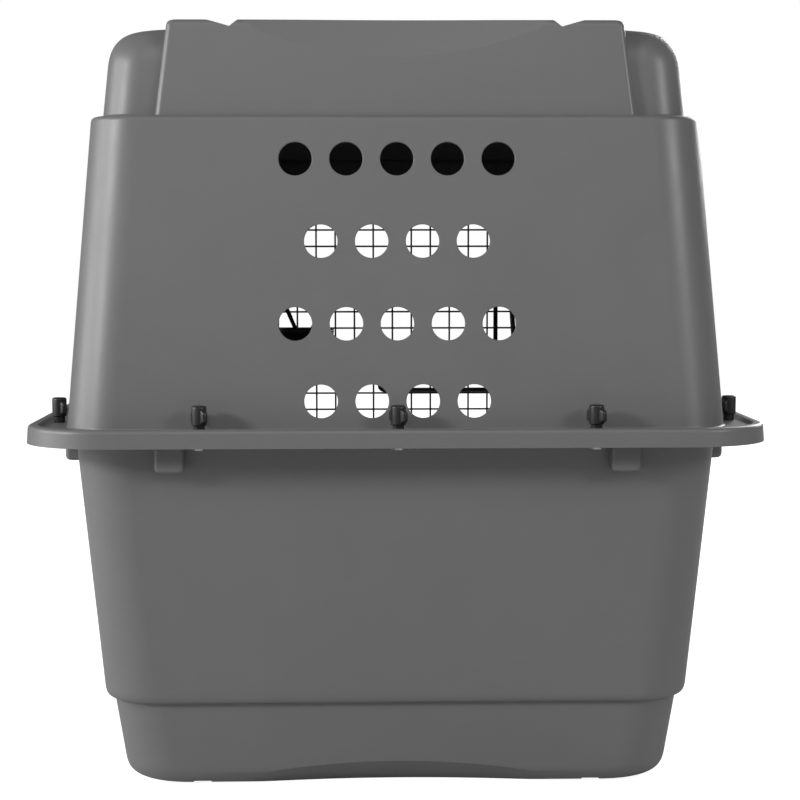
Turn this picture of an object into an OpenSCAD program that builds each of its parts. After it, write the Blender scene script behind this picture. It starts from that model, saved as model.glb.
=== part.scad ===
// Plastic pet kennel: two moulded shells bolted at a rim, with a wire door in front.
// X is across, Y runs from the door (-Y) to the rear wall (+Y), Z is up from the floor it stands on.
// Left (+X) and right (-X) are as seen from behind, where the vents of the rear wall are.

/* [Overall] */
// Width over the rim
kennel_w = 521; // [500:1:560]
// Length over the rim
kennel_l = 711; // [680:1:760]
// Height of the rim's lower edge
rim_z = 250; // [240:1:265]
// Height of the shoulder above the walls
shoulder_z = 478.6; // [465:1:490]
// Height of the roof
roof_z = 541.6; // [530:1:560]
// Height of the raised band on the roof
saddle_z = 546; // [542:1:566]

/* [Shells] */
// Thickness of the moulded walls
wall = 3.5; // [2.5:0.1:4.5]
// Thickness of the floor
floor_t = 5; // [4:0.5:7]
// Height of the rim's outer face
rim_h = 12.8; // [12:0.1:16]
// How far the rim stands out from the upper wall
rim_reach = 27.6; // [23:0.1:30]
// Plan radius of the upper wall's corners
corner_r = 38; // [30:1:46]
// How far the upper walls draw in at the sides by their top
side_draft = 14.9; // [8:0.1:20]
// How far the upper walls draw in at the ends by their top
end_draft = 25.7; // [20:0.1:32]
// How far the lower walls draw in by the step
lower_draft = 16; // [8:0.5:22]
// Height of the step above the plinth
step_z = 74; // [60:1:90]
// How far the plinth is set in from the step
plinth_inset = 6.5; // [4:0.5:10]

/* [Vents] */
// Diameter of a vent hole
vent_d = 23.2; // [18:0.1:25]
// Distance between neighbouring vents of a row
vent_pitch = 35.4; // [32:0.1:38]
// Height of the lowest row of vents
vent_z = 279.8; // [276:0.5:285]
// Distance from row to row
vent_row = 57.2; // [50:0.1:58]
// Vents in the long rows of a side wall
side_vents = 9; // [5:1:11]

/* [Door] */
// Half width of the door frame at its top
door_top_half = 123; // [118:0.1:128]
// How much wider each side of the frame is at its widest, level with the rim
door_waist_more = 12.8; // [10:0.1:15]
// How much wider each side of the frame is at its foot than at its top
door_foot_more = 4; // [1:0.1:6]
// Height of the middle of the frame's top wire
door_top_z = 438; // [430:0.5:442]
// Height of the middle of the frame's bottom wire
door_foot_z = 104.5; // [100:0.5:112]
// Diameter of the frame wire
frame_d = 5; // [4:0.1:5.4]
// Diameter of the mesh wires
mesh_d = 1.8; // [1.8:0.1:2.6]
// Distance between uprights
mesh_w = 19.25; // [18:0.05:20]
// Distance between cross wires
mesh_h = 16.53; // [15:0.01:18]
// Diameter of the hinge rod and the latch rods
rod_d = 4.5; // [4:0.1:4.6]
// Distance of these rods from the frame's top corners
rod_x = 8; // [6:0.5:11]
// Height of the lower finger grip
grip_z = 243; // [238:0.5:246]
// Distance between the two finger grips with the rods drawn in
grip_gap = 21; // [18:0.5:24]
// How far a latch rod travels
latch_travel = 10; // [8:0.5:11]

/* [Cup] */
// Width of the feed cup over its lip
cup_w = 61; // [54:1:62]
// Depth of the feed cup over its lip
cup_l = 62; // [54:1:70]
// Height of the feed cup
cup_h = 46; // [36:1:50]
// Distance of the cup's middle from the hinge rod
cup_from_rod = 35; // [34:0.5:37]

/* [Fasteners] */
// Diameter of the bolts
bolt_d = 5; // [4:0.1:5.4]
// Height of a wing nut
nut_h = 18; // [15:0.5:20]
// Span of a wing nut over its wings
nut_span = 18; // [16:0.5:18.5]
// Distance of the outer rear nuts from the sides of the rim
rear_nut_in = 124.1; // [110:0.5:140]
// Distance of a side's outer nuts from the ends of the rim
side_nut_in = 97.5; // [70:0.5:100]
// Distance of the front nuts from the door frame at its widest
front_nut_out = 32.2; // [29:0.1:40]

/* [Hidden] */

// Colours of the plastics and the wire
shell_grey = [0.43, 0.43, 0.43];
nut_black = [0.12, 0.12, 0.12];
wire_grey = [0.30, 0.30, 0.31];
zinc = [0.75, 0.75, 0.73];

// Steps around a quarter of a rounded corner, and sides of round parts
corner_steps = 6;
round_fn = 48;
// How far a cut runs past what it cuts
over = 1;
// Gap left between parts that only rest on each other, and around what slides
rest_gap = 0.1;
// Radial clearance of a pin or shaft that turns or slides in a hole
fit = 0.08;
// Overlap of wires that are welded together
weld = 0.2;

// Rim, in both directions
half_w = kennel_w / 2;
half_l = kennel_l / 2;
rim_top = rim_z + rim_h;
rim_r = corner_r + rim_reach - wall;
lip_w = 8;
lip_bevel = 2.4;
lip_rise = 2.8;
rim_draft = 0.9;
skirt_t = 3;
seat_z = rim_top - lip_rise;
part_z = seat_z - wall;
under_z = part_z - wall;
skirt_gap = 1;
// Upper wall, its foot and how far inside the rim's edge its top lies at the sides and ends
foot_fillet = 3.4;
wall_in = rim_reach;
wall_in_w = wall_in + side_draft;
wall_in_l = wall_in + end_draft;
// Shoulder
shoulder_round = 6.4;
roof_side_set = 9;
roof_end_set = 14.5;
// Roof
roof_round_w = 29;
roof_round_h = 21;
roof_draft = 4;
roof_r = 28;
// Saddle
saddle_foot_half = 170;
saddle_top_half = 161;
saddle_drop = 8;
saddle_set = 7.5;
saddle_end_draft = 9;
saddle_r = 6;
// Step from the lowest row of vents to the next, as a share of the other steps
low_vent_share = 0.934;
groove_out = 134;
groove_low = 117;
groove_in = 111;
groove_depth = 5;
scoop_half = 118;
scoop_drop = 26.5;
scoop_in = 10;
// Lower shell
lower_in = rim_reach + 4.9;
lower_r = corner_r + 2;
plinth_draft = 7;
base_round = 14;
base_in = 12;
step_h = 12;
moat = 15;
arc_half = 115;
arc_z = 19.2;
arc_in = 22;
arc_sag = 7.5;
foot_groove_in = 133.5;
foot_groove_out = 147.6;
foot_groove_depth = 2.4;
// Lugs under the rim
lug_w = 20.2;
lug_drop = 22;
lug_reach = 15.5;
lug_round = 5;
rear_lug_past_nut = 21.3;
side_lug_from_nut = 19.4;

// Doorway, a tunnel around the door
door_play = 3.2;
jamb_t = wall;
door_set = 15.2;
door_y = wall_in_l - half_l + door_set;
jamb_behind = 5;
jamb_in_y = door_y + jamb_behind;
mesh_set = 1.5;
cross_y = door_y - mesh_set;
upright_y = cross_y + mesh_d - weld;
hinge_y = cross_y - (mesh_d + rod_d) / 2 + weld;
latch_stand = 3.15;
latch_y = cross_y - (mesh_d + rod_d) / 2 - latch_stand;
rod_at = door_top_half - rod_x;
door_half_w = door_top_half + door_waist_more;
door_foot_half = door_top_half + door_foot_more;
frame_bend_r = 9;
waist_bend_r = 60;
door_rim_z = part_z;
open_gap = frame_d / 2 + door_play;
head_z = door_top_z + open_gap;
sill_z = door_foot_z - open_gap;
rod_bend_r = 9;
tip_clear = 2;
rod_reach = latch_travel - tip_clear;
grip_end_x = 3;
grip_turn = 9;
keeper_gap = 1.1;

// Mesh layout: the uprights stand between the rods, the cross wires are counted from one behind the grip
upright_clear = 5;
upright_count = 1 + floor(2 * (rod_at - upright_clear) / mesh_w);
grip_over = 2.6;
cross_foot_clear = 3;
cross_top_clear = 8;
cross_base_z = grip_z - grip_over;
cross_below = floor((cross_base_z - door_foot_z - cross_foot_clear) / mesh_h);
cross_above = floor((door_top_z - cross_base_z - cross_top_clear) / mesh_h);

// Latch guides, collars and springs, counted in cross wires from the base one
guide_rows = [cross_above, 6, -4, 1 - cross_below];
guide_h = 9;
guide_r = 5.2;
spring_wire = 1.2;
spring_r = 3.9;
spring_turns = 6;
spring_l = 16;
collar_r = 4.9;
collar_h = 3;
collar_press = 0.05;
spring_seat = 0.2;

// Feed cup
cup_wall = 1.8;
cup_taper = 4.5;
cup_lip = 1.3;
cup_lip_h = 4;
cup_r = 12;
cup_gap = 2.4;
cup_back_y = upright_y + mesh_d / 2 + cup_gap;
cup_mid_y = cup_back_y + cup_l / 2;
cup_hang_row = 5;
cup_x = rod_at - cup_from_rod;
cup_top_drop = 16.4;
hook_w = 4;
hook_t = 2.5;
hook_gap = 0.3;
hook_x = 16;
hook_lean = 24;
hook_front = 7;
hook_bite = 0.6;

// Fasteners
head_across = 9;
head_h = 5.4;
nut_neck_r = 4;
nut_body_r = 5.2;
nut_neck_h = 4.5;
nut_wing_t = 4;
nut_wing_h = 10.5;
nut_turn = 35;
nut_dome = 1.2;
bolt_hole_gap = 0.3;
thread_gap = 0.06;
bolt_in_nut = 12;
seat_shift = 1;
seat_in = (lip_w + rim_reach) / 2 - seat_shift;

// Points of a rounded rectangle, anticlockwise
function ring(hw, hl, r) = [
    for (c = [0:3]) for (i = [0:corner_steps])
        let(a = 90 * (c + i / corner_steps),
            sx = (c == 0 || c == 3) ? 1 : -1,
            sy = c < 2 ? 1 : -1)
        [sx * (hw - r) + r * cos(a), sy * (hl - r) + r * sin(a)]
];

// Closed skin through a list of levels, each [z, half width, half length, corner radius]
module loft(levels) {
    m = 4 * (corner_steps + 1);
    points = [for (v = levels) for (p = ring(v[1], v[2], v[3])) [p.x, p.y, v[0]]];
    last = len(levels) - 1;
    sides = [for (k = [0:last - 1]) for (i = [0:m - 1])
        let(a = k * m + i, b = k * m + (i + 1) % m, c = b + m, d = a + m)
        each [[a, d, c], [a, c, b]]];
    bottom = [for (i = [0:m - 1]) i];
    top = [for (i = [m - 1:-1:0]) last * m + i];
    polyhedron(points = points, faces = concat([bottom], sides, [top]));
}

// A level of a shell: height, then how far it lies inside the rim's edge at the sides and ends
function level(z, in_w, in_l, r) = [z, half_w - in_w, half_l - in_l, r];

// A polygon with its corners rounded, each corner [x, y, radius]
function corner_arc(p, q, s, steps) =
    let(u = unit([p.x - q.x, p.y - q.y]), v = unit([s.x - q.x, s.y - q.y]),
        half = acos(u * v) / 2, mid = unit(u + v),
        centre = [q.x, q.y] + mid * q[2] / sin(half),
        t1 = [q.x, q.y] + u * q[2] / tan(half),
        a1 = atan2(t1.y - centre.y, t1.x - centre.x),
        turn = cross(v, u) > 0 ? 1 : -1,
        sweep = turn * (180 - 2 * half))
    [for (i = [0:steps]) centre + q[2] * [cos(a1 + sweep * i / steps), sin(a1 + sweep * i / steps)]];
function unit(v) = v / norm(v);
function rounded(corners, steps) = [
    for (i = [0:len(corners) - 1])
        let(n = len(corners))
        each corner_arc(corners[(i + n - 1) % n], corners[i], corners[(i + 1) % n], steps)
];

// Corners of the doorway or the door frame, a gap outside the frame's middle line
function door_corners(gap) = [
    [door_half_w + gap, door_rim_z, waist_bend_r],
    [door_top_half + gap, door_top_z + gap, frame_bend_r + gap],
    [-door_top_half - gap, door_top_z + gap, frame_bend_r + gap],
    [-door_half_w - gap, door_rim_z, waist_bend_r],
    [-door_foot_half - gap, door_foot_z - gap, frame_bend_r + gap],
    [door_foot_half + gap, door_foot_z - gap, frame_bend_r + gap]
];

// Turns a drawing in X and Z to stand at a given Y, with its thickness towards the rear
module standing(y, thickness) {
    translate([0, y + thickness, 0]) rotate([90, 0, 0]) linear_extrude(thickness) children();
}

module doorway_outline(gap) {
    polygon(rounded(door_corners(gap), corner_steps));
}

// A round wire through corners [x, z, bend radius] in a plane at the given Y
function wire_unit(p, q) = unit([q.x - p.x, q.y - p.y]);
function bend_set(p, q, s) =
    let(u = wire_unit(q, p), v = wire_unit(q, s)) q[2] / tan(acos(u * v) / 2);

module straight_wire(p, q, r) {
    translate([p.x, 0, p.y])
        rotate([0, 90 - atan2(q.y - p.y, q.x - p.x), 0])
        cylinder(r = r, h = norm([q.x - p.x, q.y - p.y]), $fn = round_fn);
}

module wire_bend(p, q, s, r) {
    u = wire_unit(q, p);
    v = wire_unit(q, s);
    half = acos(u * v) / 2;
    centre = [q.x, q.y] + unit(u + v) * q[2] / sin(half);
    t1 = [q.x, q.y] + u * q[2] / tan(half);
    t2 = [q.x, q.y] + v * q[2] / tan(half);
    a1 = atan2(t1.y - centre.y, t1.x - centre.x);
    a2 = atan2(t2.y - centre.y, t2.x - centre.x);
    start = cross(v, u) > 0 ? a1 : a2;
    translate([centre.x, 0, centre.y]) rotate([90, 0, 0])
        rotate([0, 0, start])
        rotate_extrude(angle = 180 - 2 * half, $fn = 2 * round_fn)
        translate([q[2], 0]) circle(r = r, $fn = round_fn);
}

module wire(corners, r, y) {
    n = len(corners);
    translate([0, y, 0]) {
        for (i = [1:n - 2])
            wire_bend(corners[i - 1], corners[i], corners[i + 1], r);
        for (i = [0:n - 2]) {
            p = corners[i];
            q = corners[i + 1];
            u = wire_unit(p, q);
            from = i > 0 ? bend_set(corners[i - 1], p, q) : 0;
            to = i < n - 2 ? bend_set(p, q, corners[i + 2]) : 0;
            straight_wire([p.x, p.y] + u * from, [q.x, q.y] - u * to, r);
        }
    }
}

// A closed loop of round wire along points [x, z] that run anticlockwise in a plane at the given Y
module wire_loop(path, r, y, sides) {
    n = len(path);
    points = [for (i = [0:n - 1])
        let(u = wire_unit(path[(i + n - 1) % n], path[i]), v = wire_unit(path[i], path[(i + 1) % n]),
            t = unit(u + v), out = [t.y, -t.x] / (u * t))
        for (k = [0:sides - 1])
            let(b = 360 * k / sides, e = r * cos(b))
            [path[i].x + e * out.x, y + r * sin(b), path[i].y + e * out.y]];
    faces = [for (i = [0:n - 1]) for (k = [0:sides - 1])
        let(a = i * sides + k, b = i * sides + (k + 1) % sides,
            c = ((i + 1) % n) * sides + (k + 1) % sides, d = ((i + 1) % n) * sides + k)
        each [[a, b, c], [a, c, d]]];
    polyhedron(points = points, faces = faces);
}

// Foot of the roof, inside the rim's edge
roof_in_w = wall_in_w + roof_side_set;
roof_in_l = wall_in_l + roof_end_set;
// Rounded edge of the roof: shares of its height still to rise and of its width turned in
roof_round_shares = [[1, 0], [0.67, 0.06], [0.35, 0.24], [0.13, 0.5], [0, 1]];

// Outer levels of the upper shell, from the rim's lower edge to the roof
function upper_outer() = [
    level(rim_z, 0, 0, rim_r),
    level(rim_top - lip_bevel, rim_draft, rim_draft, rim_r - rim_draft),
    level(rim_top - lip_bevel / 4, rim_draft + lip_bevel / 3, rim_draft + lip_bevel / 3,
        rim_r - rim_draft - lip_bevel / 3),
    level(rim_top, rim_draft + lip_bevel, rim_draft + lip_bevel, rim_r - rim_draft - lip_bevel),
    level(rim_top, lip_w, lip_w, rim_r - lip_w),
    level(seat_z, lip_w + lip_rise / 2, lip_w + lip_rise / 2, rim_r - lip_w - lip_rise / 2),
    level(seat_z, wall_in - foot_fillet, wall_in - foot_fillet, corner_r + foot_fillet),
    level(seat_z + foot_fillet / 3, wall_in - foot_fillet / 3, wall_in - foot_fillet / 3,
        corner_r + foot_fillet / 3),
    level(seat_z + foot_fillet, wall_in, wall_in, corner_r),
    level(shoulder_z - 2 * shoulder_round, wall_in_w, wall_in_l, corner_r),
    level(shoulder_z - shoulder_round, wall_in_w + shoulder_round / 6, wall_in_l + shoulder_round / 6,
        corner_r),
    level(shoulder_z - shoulder_round / 3, wall_in_w + shoulder_round / 2, wall_in_l + shoulder_round / 2,
        corner_r - shoulder_round / 3),
    level(shoulder_z, wall_in_w + shoulder_round, wall_in_l + shoulder_round, corner_r - shoulder_round),
    level(shoulder_z, roof_in_w, roof_in_l, roof_r),
    for (share = roof_round_shares)
        level(roof_z - share[0] * roof_round_h, roof_in_w + roof_draft + share[1] * roof_round_w,
            roof_in_l + roof_draft + share[1] * roof_round_w, roof_r)
];

// Inner levels of the upper shell, from the roof down to the rim's lower edge
function upper_inner() = [
    level(roof_z - wall, roof_in_w + roof_draft + roof_round_w, roof_in_l + roof_draft + roof_round_w,
        roof_r - wall),
    level(roof_z - roof_round_h / 3 - wall, roof_in_w + roof_draft + (roof_round_w + wall) / 3,
        roof_in_l + roof_draft + (roof_round_w + wall) / 3, roof_r - wall),
    level(roof_z - roof_round_h - wall / 2, roof_in_w + roof_draft + wall, roof_in_l + roof_draft + wall,
        roof_r - wall),
    level(shoulder_z - wall / 2, roof_in_w + wall, roof_in_l + wall, roof_r - wall),
    level(shoulder_z - wall, wall_in_w + shoulder_round + wall / 2, wall_in_l + shoulder_round + wall / 2,
        corner_r - shoulder_round),
    level(shoulder_z - 2 * shoulder_round, wall_in_w + wall, wall_in_l + wall, corner_r - wall),
    level(seat_z, wall_in + wall, wall_in + wall, corner_r - wall),
    level(part_z, wall_in + wall, wall_in + wall, corner_r - wall),
    level(part_z, skirt_t + rim_draft, skirt_t + rim_draft, rim_r - skirt_t - rim_draft),
    level(rim_z, skirt_t, skirt_t, rim_r - skirt_t)
];

// Skin half way through the upper walls, which the doorway is trimmed to
function upper_middle() = [
    level(part_z, wall / 2 + skirt_t, wall / 2 + skirt_t, rim_r - skirt_t),
    level(seat_z - wall / 3, wall / 2 + skirt_t, wall / 2 + skirt_t, rim_r - skirt_t),
    level(seat_z - wall / 3, wall_in + wall / 2, wall_in + wall / 2, corner_r - wall / 2),
    level(shoulder_z - 2 * shoulder_round, wall_in_w + wall / 2, wall_in_l + wall / 2, corner_r - wall / 2),
    level(shoulder_z - wall, wall_in_w + shoulder_round + wall / 2, wall_in_l + shoulder_round + wall / 2,
        corner_r - shoulder_round)
];

// Lining of the doorway, trimmed to the skin through the middle of a shell's walls
module door_lining(levels) {
    intersection() {
        difference() {
            standing(-half_l, half_l + jamb_in_y) doorway_outline(open_gap + jamb_t);
            standing(-half_l - over, half_l + jamb_in_y + 2 * over) doorway_outline(open_gap);
        }
        loft(levels);
    }
}

// Room inside the upper shell, from the rim's lower edge up to the roof
module cabin_top() {
    levels = upper_inner();
    loft([for (i = [len(levels) - 1:-1:0]) levels[i]]);
}

// Ends of the saddle, set in from the tops of the end walls
saddle_end = half_l - wall_in_l - saddle_set;
scoop_lean = saddle_end_draft * scoop_drop / (saddle_z - shoulder_z);

// The saddle, or the hollow under it: how much thinner its sides, top and the top of its ends are
module saddle_skin(foot_z, inset, end_inset) {
    loft([
        [foot_z, saddle_foot_half - inset, saddle_end - inset, saddle_r],
        [saddle_z - inset, saddle_top_half - inset, saddle_end - saddle_end_draft - end_inset, saddle_r]
    ]);
}

// Long V groove on each side of the saddle, its walls moved out by a margin
module saddle_grooves(margin) {
    for (s = [-1, 1])
        translate([0, half_l, 0]) rotate([90, 0, 0])
            linear_extrude(kennel_l)
            polygon([
                [s * (groove_out + margin), saddle_z], [s * groove_low, saddle_z - groove_depth - margin],
                [s * (groove_in - margin), saddle_z], [s * (groove_in - margin), saddle_z + over],
                [s * (groove_out + margin), saddle_z + over]
            ]);
}

// Hollow under the saddle, open to the cabin, which follows the grooves and the scooped ends
module saddle_hollow() {
    difference() {
        saddle_skin(shoulder_z - saddle_drop - over, wall, wall + scoop_in);
        saddle_grooves(wall);
    }
}

// Shallow scoop at each end of the saddle, which shows as a crescent from behind
module saddle_scoops() {
    sag = scoop_drop * (scoop_in - scoop_lean) / norm([scoop_in, scoop_drop]);
    scoop_r = (scoop_half * scoop_half + sag * sag) / (2 * sag);
    for (s = [0, 180])
        rotate([0, 0, s])
            translate([0, saddle_end - saddle_end_draft + scoop_lean, saddle_z - scoop_drop])
            rotate([-atan2(scoop_drop, scoop_in), 0, 0])
            translate([0, -2 * scoop_drop, scoop_r])
            rotate([-90, 0, 0])
            cylinder(r = scoop_r, h = 3 * scoop_drop, $fn = 4 * round_fn);
}

function vent_row_z(row) = vent_z + max(0, row + low_vent_share - 1) * vent_row;

module vent_row_holes(count, pitch, length) {
    for (i = [0:count - 1])
        translate([(i - (count - 1) / 2) * pitch, 0, 0])
            rotate([90, 0, 0])
            cylinder(d = vent_d, h = length, $fn = round_fn);
}

module rear_vents() {
    for (row = [0:3])
        translate([0, half_l, vent_row_z(row)])
            vent_row_holes(4 + row % 2, vent_pitch, 2 * rim_reach + end_draft);
}

module side_vent_holes() {
    for (row = [1:3])
        translate([0, 0, vent_row_z(row)])
            rotate([0, 0, 90])
            for (s = [-1, 1])
                translate([0, s > 0 ? half_w : wall + wall_in + side_draft + wall - half_w, 0])
                vent_row_holes(side_vents - 1 + row % 2, vent_pitch, wall_in + side_draft + 2 * wall);
}

// Places of the fasteners on the rim
seat_half_w = half_w - seat_in;
seat_half_l = half_l - seat_in;
rear_nut_x = half_w - rear_nut_in;
side_nut_y = half_l - side_nut_in;
front_nut_x = door_half_w + front_nut_out;
rear_places = [[rear_nut_x, seat_half_l], [0, seat_half_l], [-rear_nut_x, seat_half_l]];
side_places = [for (i = [0:3]) side_nut_y * (1 - 2 * i / 3)];
front_places = [[front_nut_x, -seat_half_l], [-front_nut_x, -seat_half_l]];
all_places = concat(
    rear_places, front_places,
    [for (y = side_places) each [[seat_half_w, y], [-seat_half_w, y]]]
);

module bolt_holes() {
    for (p = all_places)
        translate([p.x, p.y, under_z - over])
            cylinder(r = bolt_d / 2 + bolt_hole_gap, h = 2 * wall + 2 * over, $fn = round_fn);
}

// Holes for the hinge rod and the latch rods in the head or the sill
module rod_holes(z) {
    translate([rod_at, hinge_y, z - over])
        cylinder(r = rod_d / 2 + fit, h = jamb_t + 2 * over, $fn = round_fn);
    translate([-rod_at, latch_y, z - over])
        cylinder(r = rod_d / 2 + keeper_gap, h = jamb_t + 2 * over, $fn = round_fn);
}

module upper_shell() {
    color(shell_grey)
    difference() {
        union() {
            loft(concat(upper_inner(), upper_outer()));
            difference() {
                saddle_skin(shoulder_z - saddle_drop, 0, 0);
                cabin_top();
            }
            door_lining(upper_middle());
        }
        saddle_hollow();
        saddle_grooves(0);
        saddle_scoops();
        standing(-half_l - over, half_l + jamb_in_y + 2 * over) doorway_outline(open_gap);
        rear_vents();
        side_vent_holes();
        bolt_holes();
        rod_holes(head_z);
    }
}

// Lower shell, from the base up the outside, over the rim and down inside to the floor
plinth_in = lower_in + lower_draft + plinth_inset;
base_edge_in = plinth_in + plinth_draft + base_in;
flange_in = skirt_t + skirt_gap;
function lower_levels() = [
    level(0, base_edge_in, base_edge_in, lower_r),
    level(base_round / 3, base_edge_in - 2 / 3 * base_in, base_edge_in - 2 / 3 * base_in, lower_r),
    level(base_round, plinth_in + plinth_draft, plinth_in + plinth_draft, lower_r),
    level(step_z - step_h, plinth_in, plinth_in, lower_r),
    level(step_z - step_h / 3, plinth_in - 2 / 3 * plinth_inset, plinth_in - 2 / 3 * plinth_inset, lower_r),
    level(step_z, lower_in + lower_draft, lower_in + lower_draft, lower_r),
    level(under_z, lower_in, lower_in, lower_r),
    level(under_z, flange_in, flange_in, rim_r - flange_in),
    level(part_z, flange_in, flange_in, rim_r - flange_in),
    level(part_z, lower_in + wall, lower_in + wall, lower_r - wall),
    level(under_z, lower_in + wall, lower_in + wall, lower_r - wall),
    level(step_z + wall, lower_in + lower_draft + wall, lower_in + lower_draft + wall, lower_r - wall),
    level(step_z - step_h + wall, plinth_in + wall, plinth_in + wall, lower_r - wall),
    level(floor_t + moat, plinth_in + plinth_draft / 2 + wall, plinth_in + plinth_draft / 2 + wall,
        lower_r - wall),
    level(floor_t, base_edge_in + base_in / 2, base_edge_in + base_in / 2, lower_r - base_in / 2),
    level(floor_t, base_edge_in + 2 * base_in, base_edge_in + 2 * base_in, lower_r - 2 * base_in)
];

function lower_middle() = [
    level(step_z, lower_in + lower_draft + wall / 2, lower_in + lower_draft + wall / 2, lower_r - wall / 2),
    level(under_z + wall / 3, lower_in + wall / 2, lower_in + wall / 2, lower_r - wall / 2),
    level(under_z + wall / 3, skirt_t + wall, skirt_t + wall, rim_r - skirt_t - wall),
    level(part_z, skirt_t + wall, skirt_t + wall, rim_r - skirt_t - wall)
];

// A lug that hangs from the rim against the wall, its back at the origin and its face towards +Y
module lug() {
    translate([0, -wall, -lug_drop])
        rotate([90, 0, 90])
        translate([0, 0, -lug_w / 2])
        linear_extrude(lug_w)
        polygon([
            [0, 0], [lug_reach + wall - lug_round, 0], [lug_reach + wall, lug_round],
            [lug_reach + wall, lug_drop + wall / 2], [0, lug_drop + wall / 2]
        ]);
}

module lugs() {
    lean = lower_draft * lug_drop / (under_z - step_z);
    for (s = [-1, 1])
        translate([s * (rear_nut_x + rear_lug_past_nut), half_l - lower_in - lean, under_z]) lug();
    for (t = [-1, 0, 1]) for (s = [-1, 1])
        translate([s * (half_w - lower_in - lean), t * (side_nut_y - side_lug_from_nut), under_z])
            rotate([0, 0, -s * 90]) lug();
}

module base_cuts() {
    for (s = [-1, 1])
        translate([s * (foot_groove_in + foot_groove_out) / 2, 0, foot_groove_depth / 2 - over / 2])
            cube([foot_groove_out - foot_groove_in, kennel_l, foot_groove_depth + over], center = true);
    arc_r = (arc_half * arc_half + arc_sag * arc_sag) / (2 * arc_sag);
    end = half_l - plinth_in - plinth_draft * (1 - arc_z / (step_z - step_h));
    for (s = [0, 180])
        rotate([0, 0, s])
            translate([0, end, arc_z])
            rotate([atan2(arc_z, arc_in), 0, 0])
            translate([0, -2 * arc_z, -arc_r])
            rotate([-90, 0, 0])
            cylinder(r = arc_r, h = 3 * arc_z, $fn = 4 * round_fn);
}

module lower_shell() {
    color(shell_grey)
    difference() {
        union() {
            loft(lower_levels());
            door_lining(lower_middle());
            lugs();
        }
        standing(-half_l - over, half_l + jamb_in_y + 2 * over) doorway_outline(open_gap);
        base_cuts();
        bolt_holes();
        rod_holes(sill_z - jamb_t);
    }
}

// Bolts, their heads under the lower flange
module flange_bolts() {
    color(zinc)
    for (p = all_places)
        translate([p.x, p.y, 0]) {
            translate([0, 0, under_z - head_h])
                cylinder(d = head_across / cos(30), h = head_h, $fn = 6);
            translate([0, 0, under_z - over])
                cylinder(d = bolt_d, h = seat_z - under_z + bolt_in_nut + over, $fn = round_fn);
        }
}

// One wing nut, its seat at the origin
module wing_nut() {
    color(nut_black)
    difference() {
        union() {
            cylinder(r = nut_neck_r, h = nut_neck_h + over, $fn = round_fn);
            translate([0, 0, nut_neck_h])
                cylinder(r = nut_body_r, h = nut_h - nut_neck_h - nut_dome, $fn = round_fn);
            translate([0, 0, nut_h - nut_dome])
                cylinder(r1 = nut_body_r, r2 = nut_body_r - nut_dome, h = nut_dome, $fn = round_fn);
            rotate([90, 0, 0]) translate([0, 0, -nut_wing_t / 2])
                linear_extrude(nut_wing_t)
                polygon(rounded([
                    [nut_span / 2, nut_neck_h + nut_wing_h / 4, nut_wing_h / 5],
                    [nut_span / 2, nut_neck_h + nut_wing_h, nut_wing_h / 3],
                    [-nut_span / 2, nut_neck_h + nut_wing_h, nut_wing_h / 3],
                    [-nut_span / 2, nut_neck_h + nut_wing_h / 4, nut_wing_h / 5],
                    [-nut_neck_r, nut_neck_h, nut_wing_h / 10],
                    [nut_neck_r, nut_neck_h, nut_wing_h / 10]
                ], 4));
        }
        translate([0, 0, -over])
            cylinder(r = bolt_d / 2 + thread_gap, h = bolt_in_nut + 2 * over, $fn = round_fn);
    }
}

module placed_nut(p, turn) {
    translate([p.x, p.y, seat_z + rest_gap]) rotate([0, 0, turn]) wing_nut();
}

// Door: frame, mesh and hinge rod
module door_frame() {
    color(wire_grey) wire_loop(rounded(door_corners(0), corner_steps), frame_d / 2, door_y, 2 * corner_steps);
}

// Half width of the frame's middle line at a height
function frame_half(z) = z > door_rim_z
    ? door_half_w + (door_top_half - door_half_w) * (z - door_rim_z) / (door_top_z - door_rim_z)
    : door_half_w + (door_foot_half - door_half_w) * (door_rim_z - z) / (door_rim_z - door_foot_z);

module door_uprights() {
    color(wire_grey)
    for (i = [0:upright_count - 1])
        translate([(i - (upright_count - 1) / 2) * mesh_w, upright_y, door_foot_z])
            cylinder(d = mesh_d, h = door_top_z - door_foot_z, $fn = round_fn / 2);
}

function cross_z(row) = cross_base_z + row * mesh_h;

module door_cross_wires() {
    color(wire_grey)
    for (row = [-cross_below:cross_above])
        translate([-frame_half(cross_z(row)), cross_y, cross_z(row)])
            rotate([0, 90, 0])
            cylinder(d = mesh_d, h = 2 * frame_half(cross_z(row)), $fn = round_fn / 2);
}

rod_top = head_z + rod_reach;
rod_foot = sill_z - rod_reach;

module hinge_rod() {
    color(wire_grey)
    translate([rod_at, hinge_y, rod_foot])
        cylinder(d = rod_d, h = rod_top - rod_foot, $fn = round_fn);
}

// Latch: two bent rods whose ends run out into the head and the sill
upper_grip_z = grip_z + grip_gap;
upper_tip = head_z - tip_clear;
lower_tip = sill_z + tip_clear;

module upper_latch_rod() {
    color(wire_grey)
    wire([[-rod_at, upper_tip, 0], [-rod_at, upper_grip_z, rod_bend_r],
          [-grip_turn, upper_grip_z, 0]], rod_d / 2, latch_y);
}

module lower_latch_rod() {
    color(wire_grey)
    wire([[-rod_at, lower_tip, 0], [-rod_at, grip_z, rod_bend_r],
          [grip_end_x, grip_z, rod_d], [grip_end_x, grip_z + grip_turn, 0]], rod_d / 2, latch_y);
}

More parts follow.
